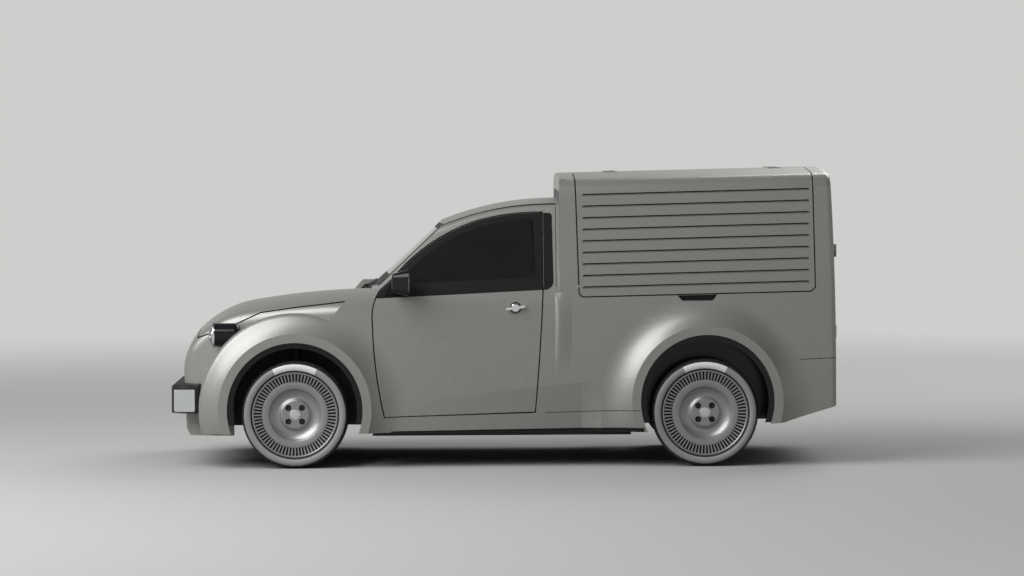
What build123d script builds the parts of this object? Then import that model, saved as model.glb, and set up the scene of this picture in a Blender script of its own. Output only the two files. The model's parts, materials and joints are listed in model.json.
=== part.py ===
from build123d import *
import math
import os

# Small electric delivery van, in millimetres.
# +X runs to the rear, +Y to the van's right, +Z up.
# The origin is on the ground under the middle of its length.

# Overall shape
BODY_HALF = 765  # half width of the flat sides
LIP_PROUD = 75  # of the wheel arch lips, beyond the flat sides
LIP_HALF = BODY_HALF + LIP_PROUD
NOSE_X = -1832
TAIL_X = 1887
SILL_Z = 200  # lower edge of the painted sides
BELT_Z = 1015  # foot of the windscreen pillars
SHOULDER_Z = 930  # where the cab sides start to lean in
SHOULDER_RADIUS = 300
LEAN_DEG = 19
CAB_TOP_Z = 1512
CAB_EDGE_RADIUS = 34
CAB_EDGE_LENGTH = 300  # roof edges longer than this are rounded
BOX_FRONT_X = 320
BOX_TOP_Z = 1689
BOX_RISE = 31  # how much the box roof climbs to the rear
BOX_EDGE_RADIUS = 90
BOX_EDGE_LENGTH = 1200  # roof edges longer than this are rounded
BOX_CORNER_RADIUS = 30
TAIL_LEAN = 33
CROWN_RADIUS = 7500  # cross curvature of both roofs
CROWN_SPREAD = 1.4  # how far a crowned form is swept, in half widths of the body
CAB_WALL = 50
BOX_WALL = 40
SKIN = 26  # bonnet, fenders and nose
GLASS = 6
SHUT_GAP = 7  # all around a moving panel
SEAM = 0.3  # between fixed panels
OVER = 1  # how far a cutting form stands beyond what it cuts
CUT = 3000  # longer than the van in any direction

# Hinges: a knuckle with a leaf on each side of a shut line
HINGE_GAP = 14  # shut line along a hinge
HINGE_RADIUS = 6
HINGE_LENGTH = 36  # of each knuckle
HINGE_REACH = 30  # of each leaf, from the hinge axis
BONNET_HINGE_Y = -230
BONNET_HINGE_Z = 972
BONNET_LEAF = 10  # thickness of each leaf
COWL_LEAF = 15
ROOF_LEAF = 12
REAR_HINGES = (720, 1180)  # z of the rear door hinges
FLAP_HINGES = (274, 1224)  # behind the front of the box, along the roof

# Wheels
WHEELBASE = 2322
FRONT_AXLE_X = -1182
REAR_AXLE_X = FRONT_AXLE_X + WHEELBASE
WHEEL_Y = LIP_HALF - 138  # middle plane of each tyre
TYRE_RADIUS = 304
TYRE_WIDTH = 195
TYRE_BEAD = 243
TYRE_BULGE = 272  # radius where the tyre is widest
TYRE_EDGE = 298  # radius at the edges of the tread
TREAD_HALF = 80
RIM_WIDTH = 176
BOLT_CIRCLE = 53
BOLT_COUNT = 4
BOLT_START_DEG = 45
BOLT_RADIUS = 15
BOLT_FACE_Y = 44
BOLT_DEPTH = 40
SPINDLE_RADIUS = 24
SPINDLE_TIP = 30  # beyond the middle plane of the tyre
BEARING_GAP = 0.3

# Wheel arches: centre x, centre z, opening radius, lip radius, radius where the cove ends
FRONT_ARCH = (FRONT_AXLE_X + 1, 332, 383, 433, 620)
REAR_ARCH = (REAR_AXLE_X + 12, 370, 378, 428, 600)
FENDER_ROLL_RADIUS = 520  # where the front fender starts to roll over
FENDER_TOP_RADIUS = 548
FENDER_TOP_Y = 20 - BODY_HALF
FENDER_TOP_EXTRA = 8  # added thickness under the rolled top
FENDER_VALLEY_RADIUS = 531
LIP_DEPTH = 25
HOUSE_CLEARANCE = 32  # wheel house beyond the arch opening
HOUSE_INNER_HALF = LIP_HALF - 300
LINER_WALL = 8
LINER_FLANGE = 32  # inside the arch opening
LINER_LOW_Z = 250
TUB_LOW_Z = 430  # top of the passage for the rear axle
TUB_GAP = (REAR_AXLE_X - 270, REAR_AXLE_X + 75)  # ends of that passage in x

# Windscreen, cowl and the wall under it
SCREEN_LOW = (-755, BELT_Z)
SCREEN_SLOPE_DEG = 43
SCREEN_HALF_LOW = BODY_HALF - 97
SCREEN_HALF_HIGH = BODY_HALF - 199
SCREEN_FRAME = 12
SCREEN_LEDGE = 22  # how far the pane rests on its frame
SCREEN_CORNER = 40
ROOF_FRONT = (-348, 1389)
ROOF_MID = (-35, 1481)
COWL_HALF = BODY_HALF - 120
COWL_FRONT_Z = 968
SCUTTLE_LOW_Z = 930

# Nose and bonnet: side view as x, z points, from the chin up to the cowl
NOSE_FOOT = (NOSE_X + 232, 170)
NOSE_CHIN = (NOSE_X + 49, 199)
NOSE_LIP = (NOSE_X + 13, 251)
NOSE_MID_Z = 570  # where the nose starts to lean back
NOSE_TOP = (NOSE_X + 97, 787)
NOSE_TOP_INSET = (0.6, 0.7)  # share of an inset in x and in z at that point
NOSE_BROW = (NOSE_X + 383, 925)
BONNET_REAR_X = -846
BONNET_TOP_Z = 985
BONNET_CROWN_RADIUS = 3500
BONNET_EDGE_RADIUS = 70
FRONT_EDGE_LENGTH = 60  # edges that are longer, farther out and higher than these are rounded
FRONT_EDGE_Y = 300
FRONT_EDGE_Z = 600
CHEEK_X = NOSE_X + 192  # where the sides close in
CHEEK_HALF = COWL_HALF - 100
CHEEK_RADIUS = 200
NOSE_LEAD = 20  # plan outline ahead of the nose
NOSE_HALF = COWL_HALF - 165
NOSE_CORNER_RADIUS = 150
NOSE_REAR_X = NOSE_X + 292
NOSE_LOW_Z = 172
STRIP_LOW_Z = 760  # of the fixed strips beside the bonnet
BONNET_EDGE = (
    (NOSE_X + 90, 735), (NOSE_X + 313, 818), (NOSE_X + 447, 878), (NOSE_X + 644, 907), (NOSE_X + 949, 941),
    (BONNET_REAR_X, 944),
)

# Headlamps
POD_FRONT_X = FRONT_AXLE_X - 458
POD_LENGTH = 144
POD_RADIUS = 67
POD_Y = BODY_HALF - 133
POD_Z = 752
RIM_DEPTH = 14
RIM_PROUD = 5
LENS_RADIUS = 60
LENS_DOME = 22

# Front bumper and its blades
BUMPER_X = NOSE_X - 61
BUMPER_REAR_X = NOSE_X + 97
BUMPER_HALF = BODY_HALF - 75
BUMPER_LOW_Z = 310
BUMPER_HIGH_Z = 469
BUMPER_CORNER = 110
BUMPER_EDGE_RADIUS = 18
BLADE = 10
BLADE_FRONT_X = BUMPER_X + 22
BLADE_LENGTH = 119
BLADE_LOW_Z = 318
BLADE_HEIGHT = 128
BLADE_CORNER = 10
BLADE_CHAMFER = 3

# Front edge of the cab side above the fender, and the sill panel's upper seam
DIAGONAL_LOW = (-980, 849)
DIAGONAL_HIGH = (-834, BELT_Z - SEAM)
FENDER_SPLIT_X = FRONT_AXLE_X + 62
SEAM_FRONT = (-787, 281)
SEAM_RISE = 0.026  # per millimetre to the rear

# Lower facet of the side: its crease, and its stations as x and depth at the foot
CREASE_FRONT = (-675, 389)
CREASE_RISE = 0.0895  # per millimetre to the rear
FACET_LOW_Z = 190
FACET_STATIONS = ((-560, 0.5), (440, 30), (552, 0.5))

# Door outline as x, z points, up its front edge, along its top and down its rear edge
DOOR_FRONT_X = -738
DOOR_REAR_X = 222
DOOR_LOW_FRONT_X = DOOR_FRONT_X + 65
DOOR_FRONT_BOW = (DOOR_FRONT_X + 16, 576)
DOOR_HIP = (DOOR_FRONT_X, 820)
DOOR_HIP_BOW = (DOOR_FRONT_X + 6, 920)
DOOR_SHOULDER = (DOOR_FRONT_X + 41, 1003)
DOOR_SAIL = (DOOR_FRONT_X + 109, 1064)
DOOR_PILLAR_BOW = (DOOR_FRONT_X + 317, 1257)
DOOR_ROOF_FRONT = (DOOR_FRONT_X + 589, 1391)
DOOR_ROOF_BOW = (DOOR_REAR_X - 192, 1427)
DOOR_ROOF_REAR = (DOOR_REAR_X - 16, 1437)
DOOR_REAR_SHOULDER = (DOOR_REAR_X, 1003)
DOOR_REAR_BOW = (DOOR_REAR_X - 16, 700)
DOOR_LOW_REAR_X = DOOR_REAR_X - 47
DOOR_INNER_HALF = BODY_HALF - 209
FENDER_REAR_X = DOOR_FRONT_X + 80
POST_FRONT_X = DOOR_REAR_X - 60
PILLAR_X = DOOR_REAR_X + 6  # front edge of the centre pillar above the belt
PILLAR_TOP_Z = 1445

# Door panes: belt line and borders inside the door's outline
BELT_FRONT = (-656, 963)
BELT_RISE = 0.0466  # per millimetre to the rear
PANE_BORDER = 8
WINDOW_BORDER = 36
WINDOW_RISE = 73  # of the window's foot over the belt line

# Door mirror on a sail base
SAIL = 14  # thickness
SAIL_POINTS = ((-672, 985), (-550, 980), (-566, 1022), (-622, 1066))
MIRROR_X = -580
MIRROR_Z = 1052
MIRROR_HALF = BODY_HALF + 180  # half width of the van over its mirrors
MIRROR_WIDTH = 150
MIRROR_HEIGHT = 150
MIRROR_DEPTH = 96
MIRROR_CORNER = 45
MIRROR_TAPER_DEG = 14
MIRROR_ROUND = 20
ARM_FOOT = (MIRROR_X - 20, 3 - BODY_HALF, MIRROR_Z - 62)
ARM_TIP = (MIRROR_X, 60 - MIRROR_HALF, MIRROR_Z - 40)
ARM_RADIUS = 12

# Door handle: a round boss with a bar
HANDLE = (69, 904)
HANDLE_RADIUS = 25
HANDLE_HEIGHT = 16
HANDLE_BAR_LENGTH = 110
HANDLE_BAR_WIDTH = 15
HANDLE_TILT_DEG = 8

# Door strikers: pins on the rear posts that hold the shut doors
STRIKER_X = 198  # tip of the pin
STRIKER_Y = 27 - BODY_HALF
STRIKER_Z = 760
STRIKER_RADIUS = 7
STRIKER_END = 3  # play at the tip

# Side flaps with their grooves, and the finger slot under each flap
FLAP_FRONT_X = 411
FLAP_REAR_X = 1756
FLAP_LOW_Z = 966
FLAP_HINGE_Y = 205
FLAP_POINTS = (
    (FLAP_FRONT_X, CUT), (FLAP_FRONT_X, BOX_TOP_Z - BOX_RISE), (FLAP_FRONT_X + 22, FLAP_LOW_Z + 16),
    (FLAP_FRONT_X + 40, FLAP_LOW_Z), (FLAP_REAR_X - 14, FLAP_LOW_Z + 26), (FLAP_REAR_X + 8, FLAP_LOW_Z + 46),
    (FLAP_REAR_X - 8, BOX_TOP_Z - 26), (FLAP_REAR_X - 8, CUT),
)
GROOVE_COUNT = 9
GROOVE_PITCH = 65.4
GROOVE_X = 1091.5  # middle of the grooves
GROOVE_LOW_Z = 1030
GROOVE_LENGTH = 1287
GROOVE_HEIGHT = 13
GROOVE_DEPTH = 16
GROOVE_SLOPE_DEG = 1.25
SLOT_POINTS = ((970, 985), (1226, 990), (1186, 937), (1015, 937))
SLOT_DEPTH = 25

# Box roof, rear doors, rear bumper and tail lamps
ROOF_SPLIT_Z = BOX_TOP_Z - 129
ROOF_HALF = BODY_HALF - BOX_EDGE_RADIUS - 15
REAR_DOOR_LOW_Z = 622
REAR_DOOR_HIGH_Z = BOX_TOP_Z - 101
REAR_DOOR_HALF = BODY_HALF - 75
REAR_SEAM_Z = 600
REAR_BUMPER_X = REAR_AXLE_X + 340
REAR_BUMPER_TOP = (REAR_SEAM_Z - 9, REAR_SEAM_Z + 12)  # z of its seam at the front and at the tail
BUMPER_SWEEP_POINTS = (
    (REAR_BUMPER_X, 0), (REAR_BUMPER_X, 242), (TAIL_X - 397, 242), (TAIL_X - 297, 249), (TAIL_X - 8, 335),
    (TAIL_X + OVER, 346), (TAIL_X + OVER, 0),
)
LAMP_WIDTH = 22
LAMP_HEIGHT = 210
LAMP_DEPTH = 16
LAMP_Y = BODY_HALF - 45.5
LAMP_Z = 1000

# Floor and chassis
FLOOR_Z = 330
FLOOR_WALL = 28
STRIP_Z = 178  # bottom of the dark strip under the sills
STRIP_HALF = BODY_HALF - 50
BEAM_HALF = BODY_HALF - 57
BEAM_INNER = BODY_HALF - 165
BEAM_REAR = 10  # beams end ahead of the step in the floor
FIREWALL_X = -745
FIREWALL = 30
FIREWALL_HALF = BODY_HALF - 75
KICK_X = 732  # where the floor steps up over the rear axle
KICK_WALL = 15
TUB_HALF = HOUSE_INNER_HALF - 5  # floor between the rear wheel houses
LOAD_Z = 590
LOAD_WALL = 30
LOAD_HALF = BODY_HALF - BOX_WALL - 5
LOAD_REAR_X = TAIL_X - 340  # where the load floor widens behind the wheel houses
RAIL_FRONT_X = NOSE_X + 87
RAIL_OUTER = HOUSE_INNER_HALF - 115
RAIL_INNER = RAIL_OUTER - 70
RAIL_LOW_Z = 420
RAIL_HIGH_Z = 500
CROSS_MEMBER = 45
HOUSE_WALL = 6  # inner walls of the front wheel houses
HOUSE_WALL_X = FRONT_AXLE_X - 370
HOUSE_WALL_Z = 222
TOWER_HALF = 70
TOWER_WALL = 40
TOWER_TOP_Z = 850
TOWER_CAP = 28
TOWER_OUTER = WHEEL_Y - 157
REAR_RAIL_OUTER = HOUSE_INNER_HALF - 40
REAR_RAIL_INNER = REAR_RAIL_OUTER - 100
REAR_RAIL_HEIGHT = 120
REAR_RAIL_END = 60  # ahead of the tail
BATTERY_FRONT_X = -560
BATTERY_REAR_X = 640
BATTERY_HALF = BEAM_INNER - 40
BATTERY_LOW_Z = 184
BATTERY_CORNER = 60

# Front drive, subframe, steering axis and knuckles
DRIVE_HALF_X = 150
DRIVE_HALF = RAIL_INNER - 15
DRIVE_LOW_Z = 215
DRIVE_HIGH_Z = 540
DRIVE_CORNER = 70
SHAFT_HALF = WHEEL_Y - 142
SHAFT_RADIUS = 16
SHAFT_PASSAGE = 24
SUBFRAME_HALF_X = 200
SUBFRAME_HALF = RAIL_OUTER - 5
SUBFRAME_LOW_Z = 172
SUBFRAME_FOOT_X = 190  # its feet, ahead of and behind the axle
SUBFRAME_FOOT_Y = RAIL_OUTER - 35
SUBFRAME_FOOT = 50
LINK_HALF_X = 30
LINK_OUTER = WHEEL_Y - 12
LINK_INNER = SUBFRAME_HALF - 20
LINK_LOW_Z = 166
LINK_HIGH_Z = 192
PIN_RADIUS = 11
PIN_LOW_Z = 180
PIN_HIGH_Z = 224
KINGPIN_LOW = Vector(FRONT_AXLE_X, 42 - WHEEL_Y, 190)
STRUT_LOW_Z = 330
STRUT_TOP_Z = TOWER_TOP_Z - 50
KINGPIN_HIGH = Vector(FRONT_AXLE_X, 197 - WHEEL_Y, STRUT_TOP_Z)
STRUT_RADIUS = 30
STRUT_CAP_RADIUS = 34
STRUT_CAP_Z = TOWER_TOP_Z - 10
KNUCKLE_HALF_X = 45
KNUCKLE_OUTER = WHEEL_Y - 37
KNUCKLE_INNER = WHEEL_Y - 102
KNUCKLE_LOW_Z = 212
KNUCKLE_HIGH_Z = 430
KNUCKLE_CORNER = 20

# Rear axle: a cross beam, trailing arms, hubs and springs
AXLE_BEAM_X = REAR_AXLE_X - 235
AXLE_BEAM_Z = 330
AXLE_BEAM_HALF = WHEEL_Y - 192
AXLE_BEAM_RADIUS = 34
ARM_FRONT = (KICK_X + 9, 232 - WHEEL_Y, 360)
ARM_REAR = (REAR_AXLE_X, 117 - WHEEL_Y, TYRE_RADIUS)
TRAILING_RADIUS = 26
HUB_OUTER = WHEEL_Y - 92
HUB_INNER = WHEEL_Y - 142
HUB_RADIUS = 62
SPRING_Y = 252 - WHEEL_Y
SPRING_RADIUS = 42

# Cab inside
COLUMN_DEG = 25
COLUMN_RADIUS = 26
COLUMN_LENGTH = 160
STEM = 26  # from the wheel's middle to the column
DRIVER_Y = BODY_HALF - 395
WHEEL_X = -290
WHEEL_Z = 908
WHEEL_RADIUS = 180
WHEEL_GRIP = 30
WHEEL_HALF_DEPTH = 13
WHEEL_ROUND = 9
WHEEL_HUB_RADIUS = 48
WHEEL_STEM_RADIUS = 22
SPOKE_WIDTH = 34
SPOKE_SHORT = 20  # spokes end inside the grip
SPOKES_DEG = (90, 210, 330)
DASH_HALF = BODY_HALF - 80
DASH_ROUND = 22
DASH_FRONT_X = SCREEN_LOW[0] + CAB_WALL + SEAM
DASH_POINTS = (
    (DASH_FRONT_X, 760), (DASH_FRONT_X, 960), (-640, 990), (-440, 975), (-385, 920), (-410, 800),
    (-480, 745),
)
SEAT_HALF = DRIVER_Y - 130
SEAT_ROUND = 14
SEAT_POINTS = (
    (-190, 470), (-200, 590), (-170, 610), (80, 585), (140, 620), (215, 1080), (272, 1085), (285, 1060),
    (230, 560), (200, 470),
)
# Blocks of a seat: x from, x to, y from, y to, z from, z to, with y from the middle of the seat
SEAT_BLOCKS = (
    (190, 270, -130, 130, 1110, 1270),
    (225, 245, -60, -44, 1060, 1120),
    (225, 245, 44, 60, 1060, 1120),
    (-150, 160, -190, 190, FLOOR_Z + SEAM, 480),
)
SEAT_BASE_Z = 500  # edges above this are rounded

os.makedirs("parts", exist_ok=True)


def write(piece, name):
    """Label a finished piece and write it to its own file."""
    piece.part.label = name
    export_step(piece.part, f"parts/{name}.step")


def outline(*points):
    """A closed straight-sided outline."""
    with BuildSketch() as drawn:
        with BuildLine():
            Polyline(*points, close=True)
        make_face()
    return drawn.sketch


def across(drawn, y_low, y_high):
    """A side-view outline extruded across the van between two y values."""
    with BuildPart() as prism:
        with BuildSketch(Plane.XZ.offset(-y_high)):
            add(drawn)
        extrude(amount=y_high - y_low)
    return prism.part


def block(x_low, x_high, y_low, y_high, z_low, z_high):
    """A plain box by its limits."""
    with BuildPart() as box:
        with Locations(((x_low + x_high) / 2, (y_low + y_high) / 2, (z_low + z_high) / 2)):
            Box(x_high - x_low, y_high - y_low, z_high - z_low)
    return box.part


def rod(start, end, radius):
    """A round bar between two points."""
    run = Vector(*end) - Vector(*start)
    with BuildPart() as bar:
        with BuildSketch(Plane(origin=start, z_dir=run)):
            Circle(radius)
        extrude(amount=run.length)
    return bar.part


def crowned(drawn, top_z, radius):
    """A side-view outline turned about a far axis below, so that its top is arched across the van."""
    sweep_deg = math.degrees(math.asin(CROWN_SPREAD * BODY_HALF / (radius - top_z)))
    with BuildPart() as turned:
        with BuildSketch(Plane.XZ):
            add(drawn)
        revolve(axis=Axis((0, 0, top_z - radius), (1, 0, 0)), revolution_arc=sweep_deg)
        mirror(about=Plane.XZ)
    return turned.part


def both_sides(left):
    """A left-hand piece with its mirror image, as two solids."""
    with BuildPart() as pair:
        add(left)
        mirror(about=Plane.XZ)
    return pair


def on_side(left, side):
    """A left-hand piece as it is, or its mirror image for the right."""
    with BuildPart() as piece:
        add(left if side == "left" else mirror(left, about=Plane.XZ, mode=Mode.PRIVATE))
    return piece


def seam_z(x):
    """Height of the sill panel's upper seam."""
    return SEAM_FRONT[1] + (x - SEAM_FRONT[0]) * SEAM_RISE


def belt_z(x):
    """Height of the door's belt line."""
    return BELT_FRONT[1] + (x - BELT_FRONT[0]) * BELT_RISE


def hinge_half(axis_plane, start, reach, depth):
    """A knuckle about the plane's z axis, with a leaf of a signed reach and depth in the plane's x and y."""
    with BuildPart() as half:
        with BuildSketch(axis_plane.offset(start)):
            Circle(HINGE_RADIUS)
            with Locations((reach / 2, depth / 2)):
                Rectangle(abs(reach), abs(depth))
        extrude(amount=HINGE_LENGTH)
    return half.part


def hinge_halves(axis_plane, starts, reach, depth):
    """One half of every hinge on an axis."""
    with BuildPart() as halves:
        for start in starts:
            add(hinge_half(axis_plane, start, reach, depth))
    return halves.part


# The cab's outer form
def cab_section(inset):
    """Cross-section of the cab as y, z: upright sides, a shoulder bend and leaning upper sides."""
    lean = math.radians(LEAN_DEG)
    half = BODY_HALF - inset
    radius = SHOULDER_RADIUS - inset
    bend = (half - radius * (1 - math.cos(lean)), SHOULDER_Z + radius * math.sin(lean))
    middle = (half - radius * (1 - math.cos(lean / 2)), SHOULDER_Z + radius * math.sin(lean / 2))
    top_z = CAB_TOP_Z + CAB_WALL
    top_y = bend[0] - (top_z - bend[1]) * math.tan(lean)
    with BuildSketch() as drawn:
        with BuildLine():
            Polyline((0, 0), (half, 0), (half, SHOULDER_Z))
            ThreePointArc((half, SHOULDER_Z), middle, bend)
            Polyline(bend, (top_y, top_z), (0, top_z), (0, 0))
        make_face()
        mirror(about=Plane.YZ)
    return drawn.sketch


def cab_profile(inset):
    """Side view of the cab, windscreen and roof, offset inwards by an inset."""
    slope = math.radians(SCREEN_SLOPE_DEG)
    low = (SCREEN_LOW[0] + inset / math.sin(slope), SCREEN_LOW[1])
    front = (ROOF_FRONT[0] + inset * math.tan(slope / 2), ROOF_FRONT[1] - inset)
    rear = (BOX_FRONT_X, CAB_TOP_Z - inset)
    with BuildSketch() as drawn:
        with BuildLine():
            Polyline(rear, (BOX_FRONT_X, 0), (low[0], 0), low, front)
            ThreePointArc(front, (ROOF_MID[0], ROOF_MID[1] - inset), rear)
        make_face()
    return drawn.sketch


def cab_volume(inset):
    """The cab's form, offset inwards by an inset."""
    with BuildPart() as cab:
        add(crowned(cab_profile(inset), CAB_TOP_Z - inset, CROWN_RADIUS))
        with BuildSketch(Plane.YZ.offset(-CUT / 2)):
            add(cab_section(inset))
        extrude(amount=CUT, mode=Mode.INTERSECT)
        roof_edges = cab.edges().filter_by(
            lambda e: e.length > CAB_EDGE_LENGTH and e.center().Z > ROOF_FRONT[1] - inset
        )
        side_edges = roof_edges.filter_by(lambda e: abs(e.center().Y) > BODY_HALF / 2)
        fillet(side_edges, radius=CAB_EDGE_RADIUS)
    return cab.part


# The load box's outer form
def box_profile(inset):
    """Side view of the box, offset inwards by an inset."""
    top_rear = (TAIL_X - TAIL_LEAN - inset, BOX_TOP_Z - inset)
    with BuildSketch() as drawn:
        with BuildLine():
            Polyline(
                top_rear,
                (BOX_FRONT_X + inset, BOX_TOP_Z - BOX_RISE - inset),
                (BOX_FRONT_X + inset, 0),
                (TAIL_X - inset, 0),
                (TAIL_X - inset, REAR_SEAM_Z),
            )
            TangentArc((TAIL_X - inset, REAR_SEAM_Z), top_rear, tangent=(0, 1))
        make_face()
    return drawn.sketch


def box_volume(inset):
    """The box's form, offset inwards by an inset."""
    half = BODY_HALF - inset
    with BuildPart() as box:
        add(crowned(box_profile(inset), BOX_TOP_Z - inset, CROWN_RADIUS))
        add(block(-CUT, CUT, -half, half, 0, CUT), mode=Mode.INTERSECT)
        long_edges = box.edges().filter_by(
            lambda e: e.length > BOX_EDGE_LENGTH and e.center().Z > REAR_DOOR_HIGH_Z - inset
        )
        fillet(long_edges.filter_by(lambda e: abs(e.center().Y) > half / 2), radius=BOX_EDGE_RADIUS - inset)
        if inset == 0:
            rear = box.edges().filter_by(
                lambda e: e.center().X > TAIL_X - 2 * TAIL_LEAN and e.center().Z > OVER
            )
            fillet(rear, radius=BOX_CORNER_RADIUS)
    return box.part


# The front's outer form: bonnet top, nose and sides
def front_profile(inset):
    """Side view of the nose and bonnet, offset inwards by an inset."""
    chin = (NOSE_CHIN[0] + inset, NOSE_CHIN[1])
    lip = (NOSE_LIP[0] + inset, NOSE_LIP[1])
    middle = (NOSE_X + inset, NOSE_MID_Z)
    top = (NOSE_TOP[0] + inset * NOSE_TOP_INSET[0], NOSE_TOP[1] - inset * NOSE_TOP_INSET[1])
    rear = (BONNET_REAR_X, BONNET_TOP_Z - inset)
    with BuildSketch() as drawn:
        with BuildLine():
            Polyline(rear, (BONNET_REAR_X, NOSE_FOOT[1]), NOSE_FOOT, chin, lip, middle)
            nose = TangentArc(middle, top, tangent=(0, 1))
            brow = TangentArc(nose @ 1, (NOSE_BROW[0], NOSE_BROW[1] - inset), tangent=nose % 1)
            TangentArc(brow @ 1, rear, tangent=brow % 1)
        make_face()
    return drawn.sketch


def front_plan(inset):
    """Plan view of the front: sides that close in towards a rounded nose."""
    nose_x = NOSE_X - NOSE_LEAD + inset
    with BuildSketch() as drawn:
        with BuildLine():
            Polyline(
                (BONNET_REAR_X, COWL_HALF - inset),
                (CHEEK_X, CHEEK_HALF - inset),
                (nose_x, NOSE_HALF - inset),
                (nose_x, inset - NOSE_HALF),
                (CHEEK_X, inset - CHEEK_HALF),
                (BONNET_REAR_X, inset - COWL_HALF),
                close=True,
            )
        make_face()
        corners = drawn.vertices().group_by(Axis.X)
        fillet(corners[0], radius=NOSE_CORNER_RADIUS)
        fillet(drawn.vertices().filter_by(lambda v: abs(v.X - CHEEK_X) < OVER), radius=CHEEK_RADIUS)
    return drawn.sketch


def front_volume(inset):
    """The front's form, offset inwards by an inset."""
    with BuildPart() as front:
        add(crowned(front_profile(inset), BONNET_TOP_Z - inset, BONNET_CROWN_RADIUS))
        with BuildSketch():
            add(front_plan(inset))
        extrude(amount=CUT, mode=Mode.INTERSECT)
        high = front.edges().filter_by(lambda e: e.center().Z > FRONT_EDGE_Z)
        outer = high.filter_by(lambda e: abs(e.center().Y) > FRONT_EDGE_Y)
        side = outer.filter_by(lambda e: e.bounding_box().size.X > FRONT_EDGE_LENGTH)
        fillet(side, radius=BONNET_EDGE_RADIUS)
    return front.part


# Wheel arch coves, on the left side
def cove_arc(arch):
    """The hollow of an arch from its lip out to the flat side: three points as y, z above the arch."""
    centre_x, centre_z, opening, lip, join = arch
    drop = LIP_HALF - BODY_HALF
    reach = join - lip
    radius = (reach**2 + drop**2) / (2 * drop)
    half_angle = math.asin(reach / radius) / 2
    middle = (
        -BODY_HALF - radius * (1 - math.cos(half_angle)),
        centre_z + join - radius * math.sin(half_angle),
    )
    return (-LIP_HALF, centre_z + lip), middle, (-BODY_HALF, centre_z + join)


def cove_ring(arch, inner_half):
    """A full ring with the arch lip and its cove, solid inwards to a half width."""
    centre_x, centre_z, opening, lip, join = arch
    start, middle, end = cove_arc(arch)
    with BuildPart() as ring:
        with BuildSketch(Plane.YZ.offset(centre_x)):
            with BuildLine():
                Polyline(start, (-LIP_HALF, centre_z + opening), (-inner_half, centre_z + opening))
                Polyline(
                    (-inner_half, centre_z + opening),
                    (-inner_half, end[1] + LIP_DEPTH),
                    (-BODY_HALF + LIP_DEPTH / 2, end[1] + LIP_DEPTH),
                    end,
                )
                ThreePointArc(start, middle, end)
            make_face()
        revolve(axis=Axis((centre_x, 0, centre_z), (0, 1, 0)))
    return ring.part


def wheel_house(arch):
    """What is cut away for a wheel: the arch opening, and a wider house behind its lip."""
    centre_x, centre_z, opening, lip, join = arch
    with BuildPart() as house:
        with BuildSketch(Plane((centre_x, -LIP_HALF - OVER, centre_z), x_dir=(1, 0, 0), z_dir=(0, 1, 0))):
            Circle(opening)
        extrude(amount=LIP_DEPTH + 2 * OVER)
        with BuildSketch(
            Plane((centre_x, LIP_DEPTH - LIP_HALF, centre_z), x_dir=(1, 0, 0), z_dir=(0, 1, 0))
        ):
            Circle(opening + HOUSE_CLEARANCE)
        extrude(amount=LIP_HALF - LIP_DEPTH - HOUSE_INNER_HALF)
    return house.part


def fender_ring():
    """The front fender ahead of the cab side: lip, cove, rolled top and a shelf in to the bonnet side."""
    centre_x, centre_z, opening, lip, join = FRONT_ARCH
    start, middle, end = cove_arc(FRONT_ARCH)
    drop = LIP_HALF - BODY_HALF
    cove_radius = ((join - lip) ** 2 + drop**2) / (2 * drop)
    angle_start = math.asin((join - lip) / cove_radius)
    angle_end = math.asin((join - FENDER_ROLL_RADIUS) / cove_radius)

    def on_cove(angle, radius=cove_radius):
        hub_y = -BODY_HALF - cove_radius
        return (hub_y + radius * math.cos(angle), centre_z + join - radius * math.sin(angle))

    roll_start = on_cove(angle_end)
    roll_tangent = (math.sin(angle_end), math.cos(angle_end))
    top = (FENDER_TOP_Y, centre_z + FENDER_TOP_RADIUS)
    valley = (-HOUSE_INNER_HALF, centre_z + FENDER_VALLEY_RADIUS)
    inner_cove = cove_radius + SKIN
    with BuildPart() as ring:
        with BuildSketch(Plane.YZ.offset(centre_x)):
            with BuildLine():
                Polyline(start, (-LIP_HALF, centre_z + opening), (LIP_DEPTH - LIP_HALF, centre_z + opening))
                Line((LIP_DEPTH - LIP_HALF, centre_z + opening), (LIP_DEPTH - LIP_HALF, centre_z + lip))
                Polyline(
                    (LIP_DEPTH - LIP_HALF, centre_z + lip),
                    on_cove(angle_end, inner_cove),
                    (top[0], top[1] - SKIN - FENDER_TOP_EXTRA),
                    (valley[0], valley[1] - SKIN),
                    valley,
                    top,
                )
                ThreePointArc(start, on_cove((angle_start + angle_end) / 2), roll_start)
                TangentArc(roll_start, top, tangent=roll_tangent)
            make_face()
        revolve(axis=Axis((centre_x, 0, centre_z), (0, 1, 0)))
    return ring.part


# Outlines of the panels in side view
def door_outline():
    """The door with its window frame, whose front edge is bowed and whose top follows the roof."""
    low_front = (DOOR_LOW_FRONT_X, seam_z(DOOR_FRONT_X) + SHUT_GAP)
    low_rear = (DOOR_LOW_REAR_X, seam_z(DOOR_REAR_X) + SHUT_GAP)
    with BuildSketch() as drawn:
        with BuildLine():
            ThreePointArc(low_front, DOOR_FRONT_BOW, DOOR_HIP)
            ThreePointArc(DOOR_HIP, DOOR_HIP_BOW, DOOR_SHOULDER)
            Line(DOOR_SHOULDER, DOOR_SAIL)
            ThreePointArc(DOOR_SAIL, DOOR_PILLAR_BOW, DOOR_ROOF_FRONT)
            ThreePointArc(DOOR_ROOF_FRONT, DOOR_ROOF_BOW, DOOR_ROOF_REAR)
            Line(DOOR_ROOF_REAR, DOOR_REAR_SHOULDER)
            ThreePointArc(DOOR_REAR_SHOULDER, DOOR_REAR_BOW, low_rear)
            Line(low_rear, low_front)
        make_face()
    return drawn.sketch


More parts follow.
